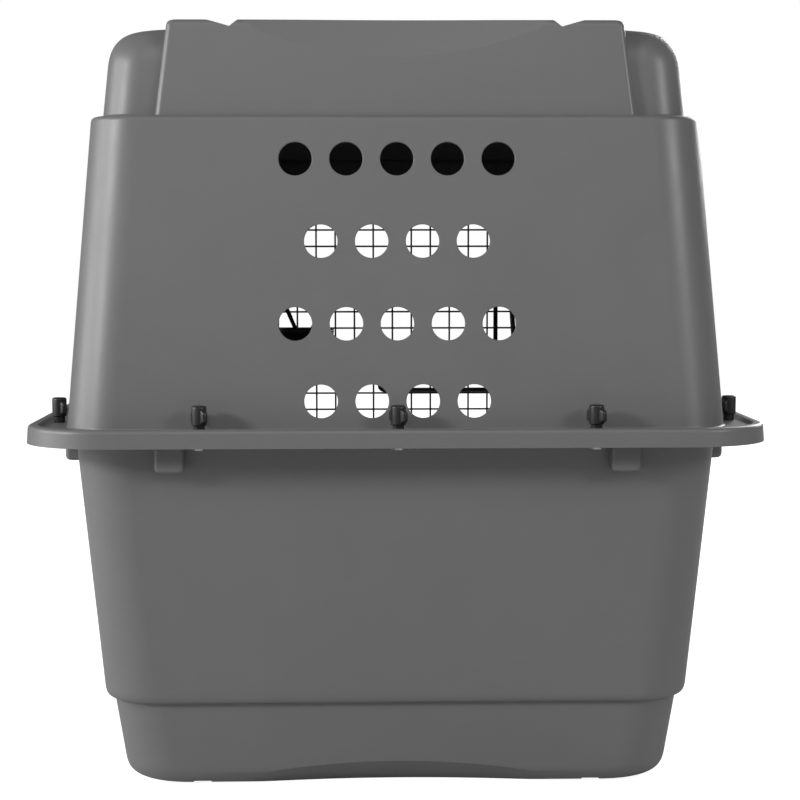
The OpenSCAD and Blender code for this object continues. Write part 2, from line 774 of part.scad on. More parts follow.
module latch_guides() {
    color(nut_black)
    for (row = guide_rows)
        translate([-rod_at, latch_y, cross_z(row)])
            difference() {
                union() {
                    translate([0, 0, -guide_h / 2])
                        cylinder(r = guide_r, h = guide_h, $fn = round_fn);
                    translate([-guide_r, 0, -guide_h / 2])
                        cube([2 * guide_r, cross_y - latch_y, guide_h]);
                }
                translate([0, 0, -guide_h / 2 - over])
                    cylinder(r = rod_d / 2 + fit, h = guide_h + 2 * over, $fn = round_fn);
            }
}

// Springs between an inner guide and the collar on its rod
upper_spring_z = cross_z(guide_rows[1]) + guide_h / 2 + spring_seat;
lower_spring_z = cross_z(guide_rows[2]) - guide_h / 2 - spring_seat;

module rod_collar(z) {
    color(nut_black)
    translate([-rod_at, latch_y, z])
        difference() {
            cylinder(r = collar_r, h = collar_h, $fn = round_fn);
            translate([0, 0, -over])
                cylinder(r = rod_d / 2 - collar_press, h = collar_h + 2 * over, $fn = round_fn);
        }
}

// Height of a spring's middle line after t turns: close turns at both ends, wide ones between
spring_sides = 6;
spring_rings = 8;
spring_air = 0.5;
spring_close = spring_wire + spring_air;
spring_open = (spring_l - spring_wire - 2 * spring_close) / (spring_turns - 2);
function spring_z(t) = spring_wire / 2 + (
    t < 1 ? t * spring_close
    : t > spring_turns - 1
        ? spring_close + (spring_turns - 2) * spring_open + (t - spring_turns + 1) * spring_close
    : spring_close + (t - 1) * spring_open);
function spring_point(k) =
    let(t = k / spring_rings) [spring_r * cos(360 * t), spring_r * sin(360 * t), spring_z(t)];

module coil_spring() {
    n = spring_turns * spring_rings;
    points = [for (k = [0:n]) let(c = spring_point(k), a = 360 * k / spring_rings)
        for (i = [0:spring_sides - 1])
            let(b = 360 * i / spring_sides, out = spring_wire / 2 * cos(b))
            [c.x + out * cos(a), c.y + out * sin(a), c.z + spring_wire / 2 * sin(b)]];
    sides = [for (k = [0:n - 1]) for (i = [0:spring_sides - 1])
        let(a = k * spring_sides + i, b = k * spring_sides + (i + 1) % spring_sides,
            c = b + spring_sides, d = a + spring_sides)
        each [[a, b, c], [a, c, d]]];
    first = [for (i = [spring_sides - 1:-1:0]) i];
    last = [for (i = [0:spring_sides - 1]) n * spring_sides + i];
    polyhedron(points = points, faces = concat([first], sides, [last]));
}

// Least gap between points of a spring's middle line half a turn or more apart
spring_gap = min([
    for (k = [0:spring_turns * spring_rings]) for (j = [k + spring_rings / 2:spring_turns * spring_rings])
        norm(spring_point(k) - spring_point(j))
]) - spring_wire;
echo(spring_gap = spring_gap);

module upper_latch_spring() {
    color(zinc) translate([-rod_at, latch_y, upper_spring_z]) coil_spring();
}

module lower_latch_spring() {
    color(zinc) translate([-rod_at, latch_y, lower_spring_z - spring_l]) coil_spring();
}

// Feed cup and the hooks that hang it on a cross wire
cup_hang_z = cross_z(cup_hang_row);
cup_top_z = cup_hang_z - cup_top_drop;
function cup_level(z, inset) = [z, cup_w / 2 - inset, cup_l / 2 - inset, cup_r - inset / 2];

module feed_cup() {
    color(nut_black)
    translate([cup_x, cup_mid_y, cup_top_z - cup_h])
        loft([
            cup_level(cup_wall, cup_lip + cup_taper + cup_wall + cup_wall),
            cup_level(2 * cup_wall, cup_lip + cup_taper + cup_wall),
            cup_level(cup_h, cup_lip + cup_wall),
            cup_level(cup_h, 0),
            cup_level(cup_h - cup_lip_h, 0),
            cup_level(cup_h - cup_lip_h, cup_lip),
            cup_level(cup_wall, cup_lip + cup_taper),
            cup_level(0, cup_lip + cup_taper + cup_wall)
        ]);
}

// Side view of a hook: behind the mesh, over the cross wire and down in front
module hook_outline() {
    back = cup_back_y + hook_bite;
    front = cross_y - mesh_d / 2 - hook_gap;
    arch = (mesh_d / 2 + hook_gap) / cos(hook_lean) + hook_w / 2 * tan(hook_lean);
    polygon([
        [back, -cup_top_drop - hook_w], [back, arch + hook_t], [front - hook_t, arch + hook_t],
        [front - hook_t, -hook_front], [front, -hook_front], [front, arch],
        [upright_y + mesh_d / 2 + hook_gap, arch], [upright_y + mesh_d / 2 + hook_gap, -cup_top_drop - hook_w]
    ]);
}

module cup_hooks() {
    color(nut_black)
    for (s = [-1, 1])
        translate([cup_x + s * hook_x, 0, cup_hang_z])
            rotate([0, s * hook_lean, 0])
            translate([-hook_w / 2, 0, 0])
            rotate([90, 0, 90])
            linear_extrude(hook_w)
            hook_outline();
}

lower_shell();
upper_shell();
flange_bolts();
door_frame();
door_uprights();
door_cross_wires();
hinge_rod();
latch_guides();
upper_latch_rod();
rod_collar(upper_spring_z + spring_l + spring_seat);  // upper_rod_collar
upper_latch_spring();
lower_latch_rod();
rod_collar(lower_spring_z - spring_l - spring_seat - collar_h);  // lower_rod_collar
lower_latch_spring();
feed_cup();
cup_hooks();
placed_nut(rear_places[0], 90 + nut_turn);  // wing_nut_rear_left
placed_nut(rear_places[1], 90 + nut_turn);  // wing_nut_rear_middle
placed_nut(rear_places[2], 90 + nut_turn);  // wing_nut_rear_right
placed_nut([seat_half_w, side_places[0]], 90 + nut_turn);  // wing_nut_left_1
placed_nut([seat_half_w, side_places[1]], 90 + nut_turn);  // wing_nut_left_2
placed_nut([seat_half_w, side_places[2]], 90 + nut_turn);  // wing_nut_left_3
placed_nut([seat_half_w, side_places[3]], 90 + nut_turn);  // wing_nut_left_4
placed_nut([-seat_half_w, side_places[0]], 90 - nut_turn);  // wing_nut_right_1
placed_nut([-seat_half_w, side_places[1]], 90 - nut_turn);  // wing_nut_right_2
placed_nut([-seat_half_w, side_places[2]], 90 - nut_turn);  // wing_nut_right_3
placed_nut([-seat_half_w, side_places[3]], 90 - nut_turn);  // wing_nut_right_4
placed_nut(front_places[0], nut_turn);  // wing_nut_front_left
placed_nut(front_places[1], nut_turn);  // wing_nut_front_right
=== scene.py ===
# %% [markdown]
# # A plastic pet kennel, seen from behind
# Two tapered plastic shells meet at a wide rim and are held there by black wing nuts. A wire door closes
# the far end, and through the vent holes of the rear wall only its mesh shows. The lesson dresses the
# measured parts: it builds each visible surface from a formula, gives it a finish, and lights it softly in
# front of white.

# %% Load the measured parts
import math

import bmesh
import bpy
import numpy as np
from mathutils import Matrix, Vector


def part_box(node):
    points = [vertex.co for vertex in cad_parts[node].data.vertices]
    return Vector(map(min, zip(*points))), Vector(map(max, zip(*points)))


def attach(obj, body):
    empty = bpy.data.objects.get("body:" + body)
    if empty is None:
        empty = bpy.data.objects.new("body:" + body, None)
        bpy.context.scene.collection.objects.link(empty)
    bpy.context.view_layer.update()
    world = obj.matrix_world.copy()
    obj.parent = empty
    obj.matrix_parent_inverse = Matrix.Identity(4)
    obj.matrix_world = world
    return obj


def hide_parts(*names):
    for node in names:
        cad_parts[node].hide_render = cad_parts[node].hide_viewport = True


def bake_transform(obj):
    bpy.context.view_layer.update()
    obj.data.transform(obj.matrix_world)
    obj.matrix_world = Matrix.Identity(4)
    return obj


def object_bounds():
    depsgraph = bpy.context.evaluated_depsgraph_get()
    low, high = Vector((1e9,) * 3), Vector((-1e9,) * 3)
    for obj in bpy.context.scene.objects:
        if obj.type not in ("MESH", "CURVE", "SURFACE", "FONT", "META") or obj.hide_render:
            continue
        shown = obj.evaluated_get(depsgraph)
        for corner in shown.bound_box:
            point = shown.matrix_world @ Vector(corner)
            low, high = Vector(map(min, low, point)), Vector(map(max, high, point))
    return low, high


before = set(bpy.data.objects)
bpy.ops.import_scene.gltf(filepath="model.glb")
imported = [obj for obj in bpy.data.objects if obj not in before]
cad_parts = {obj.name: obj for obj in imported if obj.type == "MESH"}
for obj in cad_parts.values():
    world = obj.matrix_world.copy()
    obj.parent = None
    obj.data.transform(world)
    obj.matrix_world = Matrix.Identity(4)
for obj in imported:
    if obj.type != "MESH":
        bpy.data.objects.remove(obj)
cad_box = [[float(v) for v in corner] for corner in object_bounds()]

# %% [markdown]
# ## Meshes from arrays
# A shape here is a grid of points, worked out as one array, with a face between every four neighbours.
# Sizes are in millimetres, as on a drawing, and become metres only when the mesh is made, so that each
# number can be read against the real kennel.

# %% Grids, caps and pieces
MM = 0.001


def grid_faces(rows, cols, wrap_rows=False):
    """Quads between point (i, j) and (i+1, j), (i+1, j+1), (i, j+1). Each row closes on itself."""
    i = np.arange(rows if wrap_rows else rows - 1)[:, None]
    j = np.arange(cols)[None, :]
    i2, j2 = (i + 1) % rows, (j + 1) % cols
    corners = [i * cols + j, i * cols + j2, i2 * cols + j2, i2 * cols + j]
    return np.stack(corners, axis=-1).reshape(-1, 4)


def capped(rows, cols):
    """The faces of a grid whose rows close on themselves, with a cap on its first and its last row."""
    faces = grid_faces(rows, cols).tolist()
    return faces + [list(range(cols - 1, -1, -1)), list(range((rows - 1) * cols, rows * cols))]


def make_mesh(name, points, faces):
    """A mesh from points in millimetres and faces of any length, its faces turned outwards."""
    mesh = bpy.data.meshes.new(name)
    metres = np.asarray(points, float).reshape(-1, 3) * MM
    mesh.from_pydata(metres.tolist(), [], [list(f) for f in faces])
    shape = bmesh.new()
    shape.from_mesh(mesh)
    bmesh.ops.remove_doubles(shape, verts=shape.verts[:], dist=1e-7)
    bmesh.ops.recalc_face_normals(shape, faces=shape.faces[:])
    shape.to_mesh(mesh)
    shape.free()
    return mesh


def smooth(mesh, angle=32.0):
    """Smooth shading, but a crease wherever two faces meet at more than the angle."""
    mesh.shade_smooth()
    mesh.set_sharp_from_angle(angle=math.radians(angle))


def add_object(name, mesh):
    """An object at the origin that shows the mesh."""
    obj = bpy.data.objects.new(name, mesh)
    bpy.context.scene.collection.objects.link(obj)
    return obj


def add_piece(name, points, faces, body, slot, measured):
    """A finished piece that rides on a body and stands for a measured node; the slot is not used."""
    return dress(add_object(name, make_mesh(name, points, faces)), body, measured)


def dress(obj, body, measured, angle=32.0):
    """Shades a finished piece, tells the frame what it rides on, and hides the measured node it stands for.
    """
    smooth(obj.data, angle)
    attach(obj, body)
    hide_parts(measured)
    print(obj.name, len(obj.data.polygons), "faces")
    return obj


# %% [markdown]
# ## A rounded level, and a skin through many levels
# Seen from above, every wall of the kennel is a rectangle with round corners. One level of a shell is such
# a rectangle at one height, and the shell is a skin drawn through a list of levels. Where the list turns a
# corner, extra levels along a curve round it off, as the radius in the mould does.

# %% Levels and skins
HALF_W, HALF_L, SADDLE_Z = (round(v / MM, 1) for v in cad_box[1])
CORNER_STEPS = 16
RING_POINTS = 4 * (CORNER_STEPS + 1)
FEW_STEPS, MANY_STEPS, LONG_REACH = 6, 14, 10


def ring(half_w, half_l, radius):
    """A rounded rectangle: each side's straight part, then radius * (cos a, sin a) around its corner."""
    a = np.radians(np.linspace(0, 90, CORNER_STEPS + 1)[None, :] + np.array([0, 90, 180, 270])[:, None])
    sx, sy = np.array([1, -1, -1, 1])[:, None], np.array([1, 1, -1, -1])[:, None]
    x = sx * (half_w - radius) + radius * np.cos(a)
    y = sy * (half_l - radius) + radius * np.sin(a)
    return np.stack([x.ravel(), y.ravel()], axis=-1)


def bend(before, corner, after, steps):
    """Points along the curve (1-t)^2 before + 2t(1-t) corner + t^2 after, which rounds a corner off."""
    t = np.linspace(0, 1, steps + 1)[:, None]
    return (1 - t) ** 2 * before + 2 * t * (1 - t) * corner + t ** 2 * after


def profile(controls):
    """Levels (z, inset at the sides, inset at the ends, corner radius), rounded where a control has a reach.

    A reach is a length along the profile on each side of the control, or one length before and one after.
    It never goes past the middle of a line, so that two bends can't meet."""
    at = np.array([c[:4] for c in controls], float)
    out = []
    for k, control in enumerate(controls):
        reach = control[4:]
        if not reach:
            out.append(at[k:k + 1])
            continue
        back, ahead = at[k - 1] - at[k], at[k + 1] - at[k]
        start = at[k] + back * min(0.5, reach[0] / math.hypot(*back[:2]))
        end = at[k] + ahead * min(0.5, reach[-1] / math.hypot(*ahead[:2]))
        out.append(bend(start, at[k], end, FEW_STEPS if reach[0] < LONG_REACH else MANY_STEPS))
    return np.concatenate(out)


def even(z, inset, radius, *reach):
    """A control with the same inset at the sides and at the ends."""
    return (z, inset, inset, radius, *reach)


def stack(half_w, half_l, levels):
    """A ring for each level, set in from a rectangle, with the faces that join them and close both ends."""
    rings = [np.column_stack([ring(half_w - w, half_l - l, r), np.full(RING_POINTS, z)])
             for z, w, l, r in levels]
    return np.concatenate(rings), capped(len(rings), RING_POINTS)


def skin(controls):
    """The closed skin through the rounded levels, set in from the kennel's own rectangle."""
    return stack(HALF_W, HALF_L, profile(controls))


print("the kennel in millimetres:", 2 * HALF_W, "x", 2 * HALF_L, "x", SADDLE_Z)

# %% [markdown]
# ## Cutting with solids
# Holes and hollows are cut with a Boolean modifier, which compares two closed meshes exactly. It is applied
# at once, so that the piece keeps a plain mesh.

# %% Boolean helpers
def carve(obj, tool, operation):
    """Joins a tool to a piece, or cuts it away, and deletes the tool."""
    cut = obj.modifiers.new("cut", "BOOLEAN")
    cut.operation, cut.object, cut.solver = operation, tool, "EXACT"
    depsgraph = bpy.context.evaluated_depsgraph_get()
    mesh = bpy.data.meshes.new_from_object(obj.evaluated_get(depsgraph))
    obj.modifiers.clear()
    old, obj.data = obj.data, mesh
    bpy.data.meshes.remove(old)
    bpy.data.objects.remove(tool)


def solid(name, points, faces):
    """A helper solid for cutting or joining."""
    return add_object(name, make_mesh(name, points, faces))


def one_solid(name, parts):
    """Many closed solids in one mesh, their faces renumbered."""
    points, faces, count = [], [], 0
    for p, f in parts:
        points.append(p)
        faces += [[i + count for i in face] for face in f]
        count += len(p)
    return solid(name, np.concatenate(points), faces)


def extrude(outline, start, along, across, up):
    """A prism: outline points (u, v) placed at start + u * across + v * up, then again one step along."""
    outline = np.asarray(outline, float)
    near = np.asarray(start, float) + outline[:, :1] * np.asarray(across, float)
    near += outline[:, 1:] * np.asarray(up, float)
    return np.concatenate([near, near + np.asarray(along, float)]), capped(2, len(outline))


GROOVE_HALF_L = 340


def lengthwise(outline):
    """A prism that runs past both ends of the roof or the foot, with an outline in (x, z)."""
    return extrude(outline, (0, -GROOVE_HALF_L, 0), (0, 2 * GROOVE_HALF_L, 0), (1, 0, 0), (0, 0, 1))


def finish_shell(obj, measured):
    """Creases by angle, and normals that follow the largest faces, so that flat walls look flat."""
    weigh = obj.modifiers.new("even shading", "WEIGHTED_NORMAL")
    weigh.keep_sharp = True
    weigh.weight = 90
    return dress(obj, "shells", measured, angle=30.0)


# %% [markdown]
# ## The upper shell
# The upper shell is one moulding: a rim with a raised lip, tapered walls, a rounded shoulder and a roof
# with a broad raised band, the saddle. It is made as a full block first, and the room inside is cut out of
# it at the thickness of the plastic.

# %% Upper shell block
# A name with Z is a height above the ground, one with IN an inset from the kennel's own rectangle, one with R
# the radius of its corners seen from above, and one with ROUND the reach of a bend.
WALL, CORNER_R = 3.5, 38
RIM_Z, RIM_TOP, SEAT_Z, SHOULDER_Z, ROOF_Z = 250.0, 262.8, 260.0, 478.6, 541.6
RIM_R, RIM_DRAFT, LIP_IN, SEAT_OUT, SEAT_IN, SKIRT_T = 60.1, 0.9, 8, 9.4, 27.4, 3
PART_Z = SEAT_Z - WALL
WALL_IN, WALL_FOOT_Z, WALL_RISE, SIDE_LEAN, END_LEAN = 27.6, 263.4, 202.4, 14.9, 25.7
ROOF_IN_W, ROOF_IN_L, ROOF_DRAFT, ROOF_R = 51.5, 67.8, 6, 28
ROOF_FLAT_W, ROOF_FLAT_L = 118, 134
LIP_ROUND, LIP_INNER_ROUND, SEAT_ROUND, FOOT_ROUND = 3.0, 1.2, 1.4, 1.6
SHOULDER_ROUND, VALLEY_ROUND, ROOF_ROUND = (3.8, 4.2), 1.5, (27, 25)


def side_inset(z):
    """How far the upper side wall lies inside the rim: its inset at the foot, and more with height."""
    return WALL_IN + SIDE_LEAN / WALL_RISE * (z - WALL_FOOT_Z)


def end_inset(z):
    """How far the upper end wall lies inside the rim: its inset at the foot, and more with height."""
    return WALL_IN + END_LEAN / WALL_RISE * (z - WALL_FOOT_Z)


def on_wall(z, deep, *reach):
    """A control that lies a depth behind the outer face of the leaning walls."""
    return (z, side_inset(z) + deep, end_inset(z) + deep, CORNER_R - deep, *reach)


upper = solid("upper_shell_skin", *skin([
    even(RIM_Z, 0, RIM_R),
    even(RIM_TOP, RIM_DRAFT, RIM_R - RIM_DRAFT, LIP_ROUND),
    even(RIM_TOP, LIP_IN, RIM_R - LIP_IN, LIP_INNER_ROUND),
    even(SEAT_Z, SEAT_OUT, RIM_R - SEAT_OUT, SEAT_ROUND),
    even(SEAT_Z, SEAT_IN, CORNER_R, FOOT_ROUND),
    on_wall(SHOULDER_Z, 0, *SHOULDER_ROUND),
    (SHOULDER_Z, ROOF_IN_W, ROOF_IN_L, ROOF_R, VALLEY_ROUND),
    (ROOF_Z, ROOF_IN_W + ROOF_DRAFT, ROOF_IN_L + ROOF_DRAFT, ROOF_R, *ROOF_ROUND),
    (ROOF_Z, ROOF_FLAT_W, ROOF_FLAT_L, ROOF_R)]))

# %% Room inside the upper shell
BELOW_RIM, VALLEY_WALL = 5, 1.8
SHOULDER_INNER_ROUND, VALLEY_INNER_ROUND, ROOF_INNER_ROUND = 5, 3, 20
ROOM_FLAT_W, ROOM_FLAT_L, ROOM_FLAT_R = 102, 120, 24


def room_inside():
    """The room inside the upper shell, from below its rim up to the roof."""
    skirt_in, deep_r = SKIRT_T + RIM_DRAFT, ROOF_R - WALL
    deep_w, deep_l = ROOF_IN_W + WALL, ROOF_IN_L + WALL
    return solid("room", *skin([
        even(RIM_Z - BELOW_RIM, SKIRT_T, RIM_R - SKIRT_T),
        even(PART_Z, skirt_in, RIM_R - skirt_in),
        even(PART_Z, WALL_IN + WALL, CORNER_R - WALL),
        on_wall(SEAT_Z, WALL),
        on_wall(SHOULDER_Z - WALL, WALL, SHOULDER_INNER_ROUND),
        (SHOULDER_Z - VALLEY_WALL, deep_w, deep_l, deep_r, VALLEY_INNER_ROUND),
        (ROOF_Z - WALL, deep_w + ROOF_DRAFT, deep_l + ROOF_DRAFT, deep_r, ROOF_INNER_ROUND),
        (ROOF_Z - WALL, ROOM_FLAT_W, ROOM_FLAT_L, ROOM_FLAT_R)]))


# %% [markdown]
# The saddle is a block of its own with rounded edges, joined to the roof. Two long V grooves run along its
# top, and a very shallow scoop at each end leaves the crescent that shows above the vents. Each scoop is
# cut by a cylinder of more than a metre radius, so only a thin slice of that cylinder is built.

# %% Saddle
SADDLE_FOOT_HALF, SADDLE_TOP_HALF, SADDLE_END_DRAFT, SADDLE_R = 170, 161, 9, 4.5
SADDLE_FOOT_Z, HOLLOW_FOOT_Z, SADDLE_SET = 471, 465, 7.5
SADDLE_END = HALF_L - WALL_IN - END_LEAN - SADDLE_SET
SADDLE_ROUND, HOLLOW_ROUND = 4.5, 1.5
TOP_FURTHER_IN, TOP_R = 20, 4


def saddle_block(foot, inset, end_inset_top, edge):
    """The saddle or its hollow: its sides and ends lean in, and its top edge is rounded."""
    w0, w1 = HALF_W - SADDLE_FOOT_HALF + inset, HALF_W - SADDLE_TOP_HALF + inset
    l0, l1 = HALF_L - SADDLE_END + inset, HALF_L - SADDLE_END + SADDLE_END_DRAFT + end_inset_top
    top = SADDLE_Z - inset
    return solid("saddle", *skin([
        (foot, w0, l0, SADDLE_R), (top, w1, l1, SADDLE_R, edge),
        (top, w1 + TOP_FURTHER_IN, l1 + TOP_FURTHER_IN, TOP_R)]))


def big_arc(radius, half, depth, steps=40):
    """The slice of a big circle that touches zero at its middle, closed by a line far from it."""
    u = np.linspace(-half, half, steps + 1)
    arc = np.column_stack([u, radius - np.sqrt(radius ** 2 - u ** 2)])
    return np.concatenate([arc, [(half, depth), (-half, depth)]])


OVERRUN, SCOOP_DEPTH = 20, 30.0


def scoop(radius, foot, head, half):
    """A solid whose innermost line runs from foot to head in the middle plane, both given as (y, z)."""
    foot, head = np.array([0, *foot], float), np.array([0, *head], float)
    length = np.linalg.norm(head - foot)
    along = (head - foot) / length
    out = np.cross(along, [1, 0, 0])
    out *= np.sign(out[1] * foot[1])
    return extrude(big_arc(radius, half, SCOOP_DEPTH), foot - OVERRUN * along,
                   (length + 2 * OVERRUN) * along, (1, 0, 0), out)


# %% Grooves and scoops
GROOVE_OUT, GROOVE_LOW, GROOVE_IN, GROOVE_DEPTH = 134, 117, 111, 5
GROOVE_ABOVE, GROOVE_FLARE, GROOVE_SPREAD = 14, 6, 4
SCOOP_R, SCOOP_HALF, SCOOP_DROP, SCOOP_IN = 1074, 150.0, 26.5, 10


def groove(side, out, inner, depth):
    """A V from the top of the saddle down to its low line and up again, open above."""
    high = SADDLE_Z + GROOVE_ABOVE
    return solid("groove", *lengthwise([
        (side * out, SADDLE_Z), (side * GROOVE_LOW, SADDLE_Z - depth), (side * inner, SADDLE_Z),
        (side * inner, high), (side * (out + GROOVE_FLARE), high)]))


carve(upper, saddle_block(SADDLE_FOOT_Z, 0, 0, SADDLE_ROUND), "UNION")
carve(upper, room_inside(), "DIFFERENCE")
hollow = saddle_block(HOLLOW_FOOT_Z, WALL, WALL + SCOOP_IN, HOLLOW_ROUND)
for s in (-1, 1):
    carve(hollow, groove(s, GROOVE_OUT + GROOVE_SPREAD, GROOVE_IN - WALL, GROOVE_DEPTH + WALL), "DIFFERENCE")
carve(upper, hollow, "DIFFERENCE")
scoop_lean = SADDLE_END_DRAFT * SCOOP_DROP / (SADDLE_Z - SADDLE_FOOT_Z)
for s in (-1, 1):
    carve(upper, groove(s, GROOVE_OUT, GROOVE_IN, GROOVE_DEPTH), "DIFFERENCE")
    y = s * (SADDLE_END - SADDLE_END_DRAFT)
    foot = (y + s * scoop_lean, SADDLE_Z - SCOOP_DROP)
    head = (y + s * (scoop_lean - SCOOP_IN), SADDLE_Z)
    carve(upper, solid("scoop", *scoop(SCOOP_R, foot, head, SCOOP_HALF)), "DIFFERENCE")
print("upper shell with its saddle:", len(upper.data.polygons), "faces")

# %% [markdown]
# ## Vent holes with rounded lips
# A moulded hole has a small radius at its edge, which catches a thin line of light. The cutter for each
# hole is therefore flared at both faces of the wall. The wall leans, so every ring of the cutter is sheared
# to lie in the plane of the wall.

# %% Vent holes
VENT_R, VENT_LIP, VENT_OVER, VENT_SIDES = 11.6, 0.8, 6, 48
VENT_PITCH, VENT_LOW_Z, VENT_ROW, LOW_ROW_SHARE = 35.4, 279.8, 57.2, 0.934
ROWS = VENT_LOW_Z + VENT_ROW * np.array([0, LOW_ROW_SHARE, 1 + LOW_ROW_SHARE, 2 + LOW_ROW_SHARE])


def vent_cutter(u, z, axis, side):
    """Rings of radius r + e(1 - sin f) at depth e(1 - cos f) behind each face, sheared to follow the wall."""
    f = np.radians(np.linspace(8, 90, 5))
    flare = np.column_stack([VENT_R + VENT_LIP * (1 - np.sin(f)), VENT_LIP * (1 - np.cos(f))])
    rings = np.concatenate([[(flare[0, 0], -VENT_OVER)], flare, (flare * (1, -1) + (0, WALL))[::-1],
                            [(flare[0, 0], WALL + VENT_OVER)]])
    a = np.linspace(0, 2 * np.pi, VENT_SIDES, endpoint=False)
    across = u + rings[:, :1] * np.cos(a)
    high = z + rings[:, :1] * np.sin(a)
    inset, half = (end_inset(high), HALF_L) if axis == "y" else (side_inset(high), HALF_W)
    deep = side * (half - inset - rings[:, 1:])
    points = np.stack([across, deep, high] if axis == "y" else [deep, across, high], axis=-1)
    return points.reshape(-1, 3), capped(len(rings), VENT_SIDES)


def vent_row(row, fewest, axis, *sides):
    """The cutters of one row about its middle, on one wall or on two. Every second row has one hole more."""
    count = fewest + row % 2
    return [vent_cutter((i - (count - 1) / 2) * VENT_PITCH, ROWS[row], axis, side)
            for i in range(count) for side in sides]


rear_vents = [cutter for row in range(4) for cutter in vent_row(row, 4, "y", 1)]
side_vents = [cutter for row in (1, 2, 3) for cutter in vent_row(row, 8, "x", -1, 1)]
carve(upper, one_solid("vents", rear_vents + side_vents), "DIFFERENCE")
print("vents cut:", len(rear_vents), "behind and", len(side_vents), "at the sides")

# %% [markdown]
# ## The doorway
# Both shells form the doorway together: a short tunnel with six sides and rounded corners, a little wider
# than the door. Its lining is trimmed to the middle of the walls, joined, and then the way through is cut.
# Holes in the lining's head and sill take the ends of the hinge rod and the latch rods.

# %% Doorway
DOOR_Y, JAMB_IN = -287.0, -282.0
DOOR_WAIST_HALF, DOOR_TOP_HALF, DOOR_FOOT_HALF = 135.8, 123, 127
DOOR_TOP_Z, DOOR_FOOT_Z, WAIST_R, DOOR_CORNER_R = 438, 104.5, 60, 9
HINGE, LATCH = (115.0, -291.45), (-115.0, -294.8)
OPEN_GAP, WAY_OUT, WAY_IN = 5.7, 20, 8
HINGE_HOLE_R, LATCH_HOLE_R, HOLE_L = 2.33, 3.35, 9


def rounded(corners, steps):
    """Corners (x, z, radius) as a closed line: each an arc whose ends lie radius / tan(half angle) away."""
    out = []
    c = np.asarray(corners, float)
    for p, q, s in zip(np.roll(c, 1, 0), c, np.roll(c, -1, 0)):
        u, v = (p - q)[:2], (s - q)[:2]
        u, v = u / np.linalg.norm(u), v / np.linalg.norm(v)
        half = math.acos(np.clip(u @ v, -1, 1)) / 2
        centre = q[:2] + (u + v) / np.linalg.norm(u + v) * q[2] / math.sin(half)
        start = q[:2] + u * q[2] / math.tan(half) - centre
        turn = np.sign(v[0] * u[1] - v[1] * u[0]) * np.linspace(0, math.pi - 2 * half, steps + 1)
        out.append(centre + np.stack([start[0] * np.cos(turn) - start[1] * np.sin(turn),
                                      start[0] * np.sin(turn) + start[1] * np.cos(turn)], axis=-1))
    return np.concatenate(out)


def door_line(gap, steps=10):
    """The middle line of the door frame, or the doorway's outline that lies a gap outside it."""
    waist, top, foot = DOOR_WAIST_HALF + gap, DOOR_TOP_HALF + gap, DOOR_FOOT_HALF + gap
    high, low, r = DOOR_TOP_Z + gap, DOOR_FOOT_Z - gap, DOOR_CORNER_R + gap
    return rounded([(waist, PART_Z, WAIST_R), (top, high, r), (-top, high, r),
                    (-waist, PART_Z, WAIST_R), (-foot, low, r), (foot, low, r)], steps)


def standing(gap, y0, y1):
    """The doorway's outline carried from y0 to y1."""
    return extrude(door_line(gap), (0, y0, 0), (0, y1 - y0, 0), (1, 0, 0), (0, 0, 1))


def round_hole(x, y, radius, z, sides=32):
    """An upright cutter for a round hole."""
    a = np.linspace(0, 2 * np.pi, sides, endpoint=False)
    circle = radius * np.column_stack([np.cos(a), np.sin(a)])
    return extrude(circle, (x, y, z), (0, 0, HOLE_L), (1, 0, 0), (0, 1, 0))


def open_doorway(shell, middle, hole_z):
    """Joins the lining, trimmed to the middle of the walls, then opens the way and the rod holes."""
    lining = solid("lining", *standing(OPEN_GAP + WALL, -HALF_L, JAMB_IN))
    carve(lining, solid("middle", *skin(middle)), "INTERSECT")
    carve(shell, lining, "UNION")
    carve(shell, solid("way", *standing(OPEN_GAP, -HALF_L - WAY_OUT, JAMB_IN + WAY_IN)), "DIFFERENCE")
    holes = [round_hole(*HINGE, HINGE_HOLE_R, hole_z), round_hole(*LATCH, LATCH_HOLE_R, hole_z)]
    carve(shell, one_solid("rod_holes", holes), "DIFFERENCE")


# Levels through the middle of the plastic, from the skirt over the seat and up the wall to the shoulder
SEAT_MIDDLE_Z, UPPER_HOLE_Z = 258.4, 441.7
UPPER_MIDDLE = [
    even(PART_Z, 4.9, 57), even(SEAT_MIDDLE_Z, 4.9, 57), even(SEAT_MIDDLE_Z, 29.3, 36.3),
    (465.8, 44.2, 55.0, 36.3), (SHOULDER_Z - WALL, 50.6, 61.5, 31.6)]
open_doorway(upper, UPPER_MIDDLE, UPPER_HOLE_Z)
finish_shell(upper, "upper_shell")

# %% [markdown]
# Each scoop meets the end of the saddle at so slight an angle that smooth shading would hide the line
# between them. In the photograph that line shows, so the edges along it are marked sharp.

# %% Sharp edges of the scoops
CRESCENT_Z, CRESCENT_HALF, CRESCENT_Y, CRESCENT_DEGREES = (512, 541), 130, 270, 8


def on_crescent(vertex):
    """Whether a point lies on the end of the saddle, in the band of heights that a scoop reaches."""
    x, y, z = vertex.co / MM
    return CRESCENT_Z[0] < z < CRESCENT_Z[1] and abs(x) < CRESCENT_HALF and abs(y) > CRESCENT_Y


def sharpen_crescents(mesh):
    """Marks the edges on the saddle's ends sharp where their faces meet at more than a slight angle."""
    shape = bmesh.new()
    shape.from_mesh(mesh)
    ends = [e for e in shape.edges if e.is_manifold and all(on_crescent(v) for v in e.verts)
            and e.calc_face_angle() > math.radians(CRESCENT_DEGREES)]
    for edge in ends:
        edge.smooth = False
    shape.to_mesh(mesh)
    shape.free()
    print("edges marked sharp:", len(ends))


sharpen_crescents(upper.data)

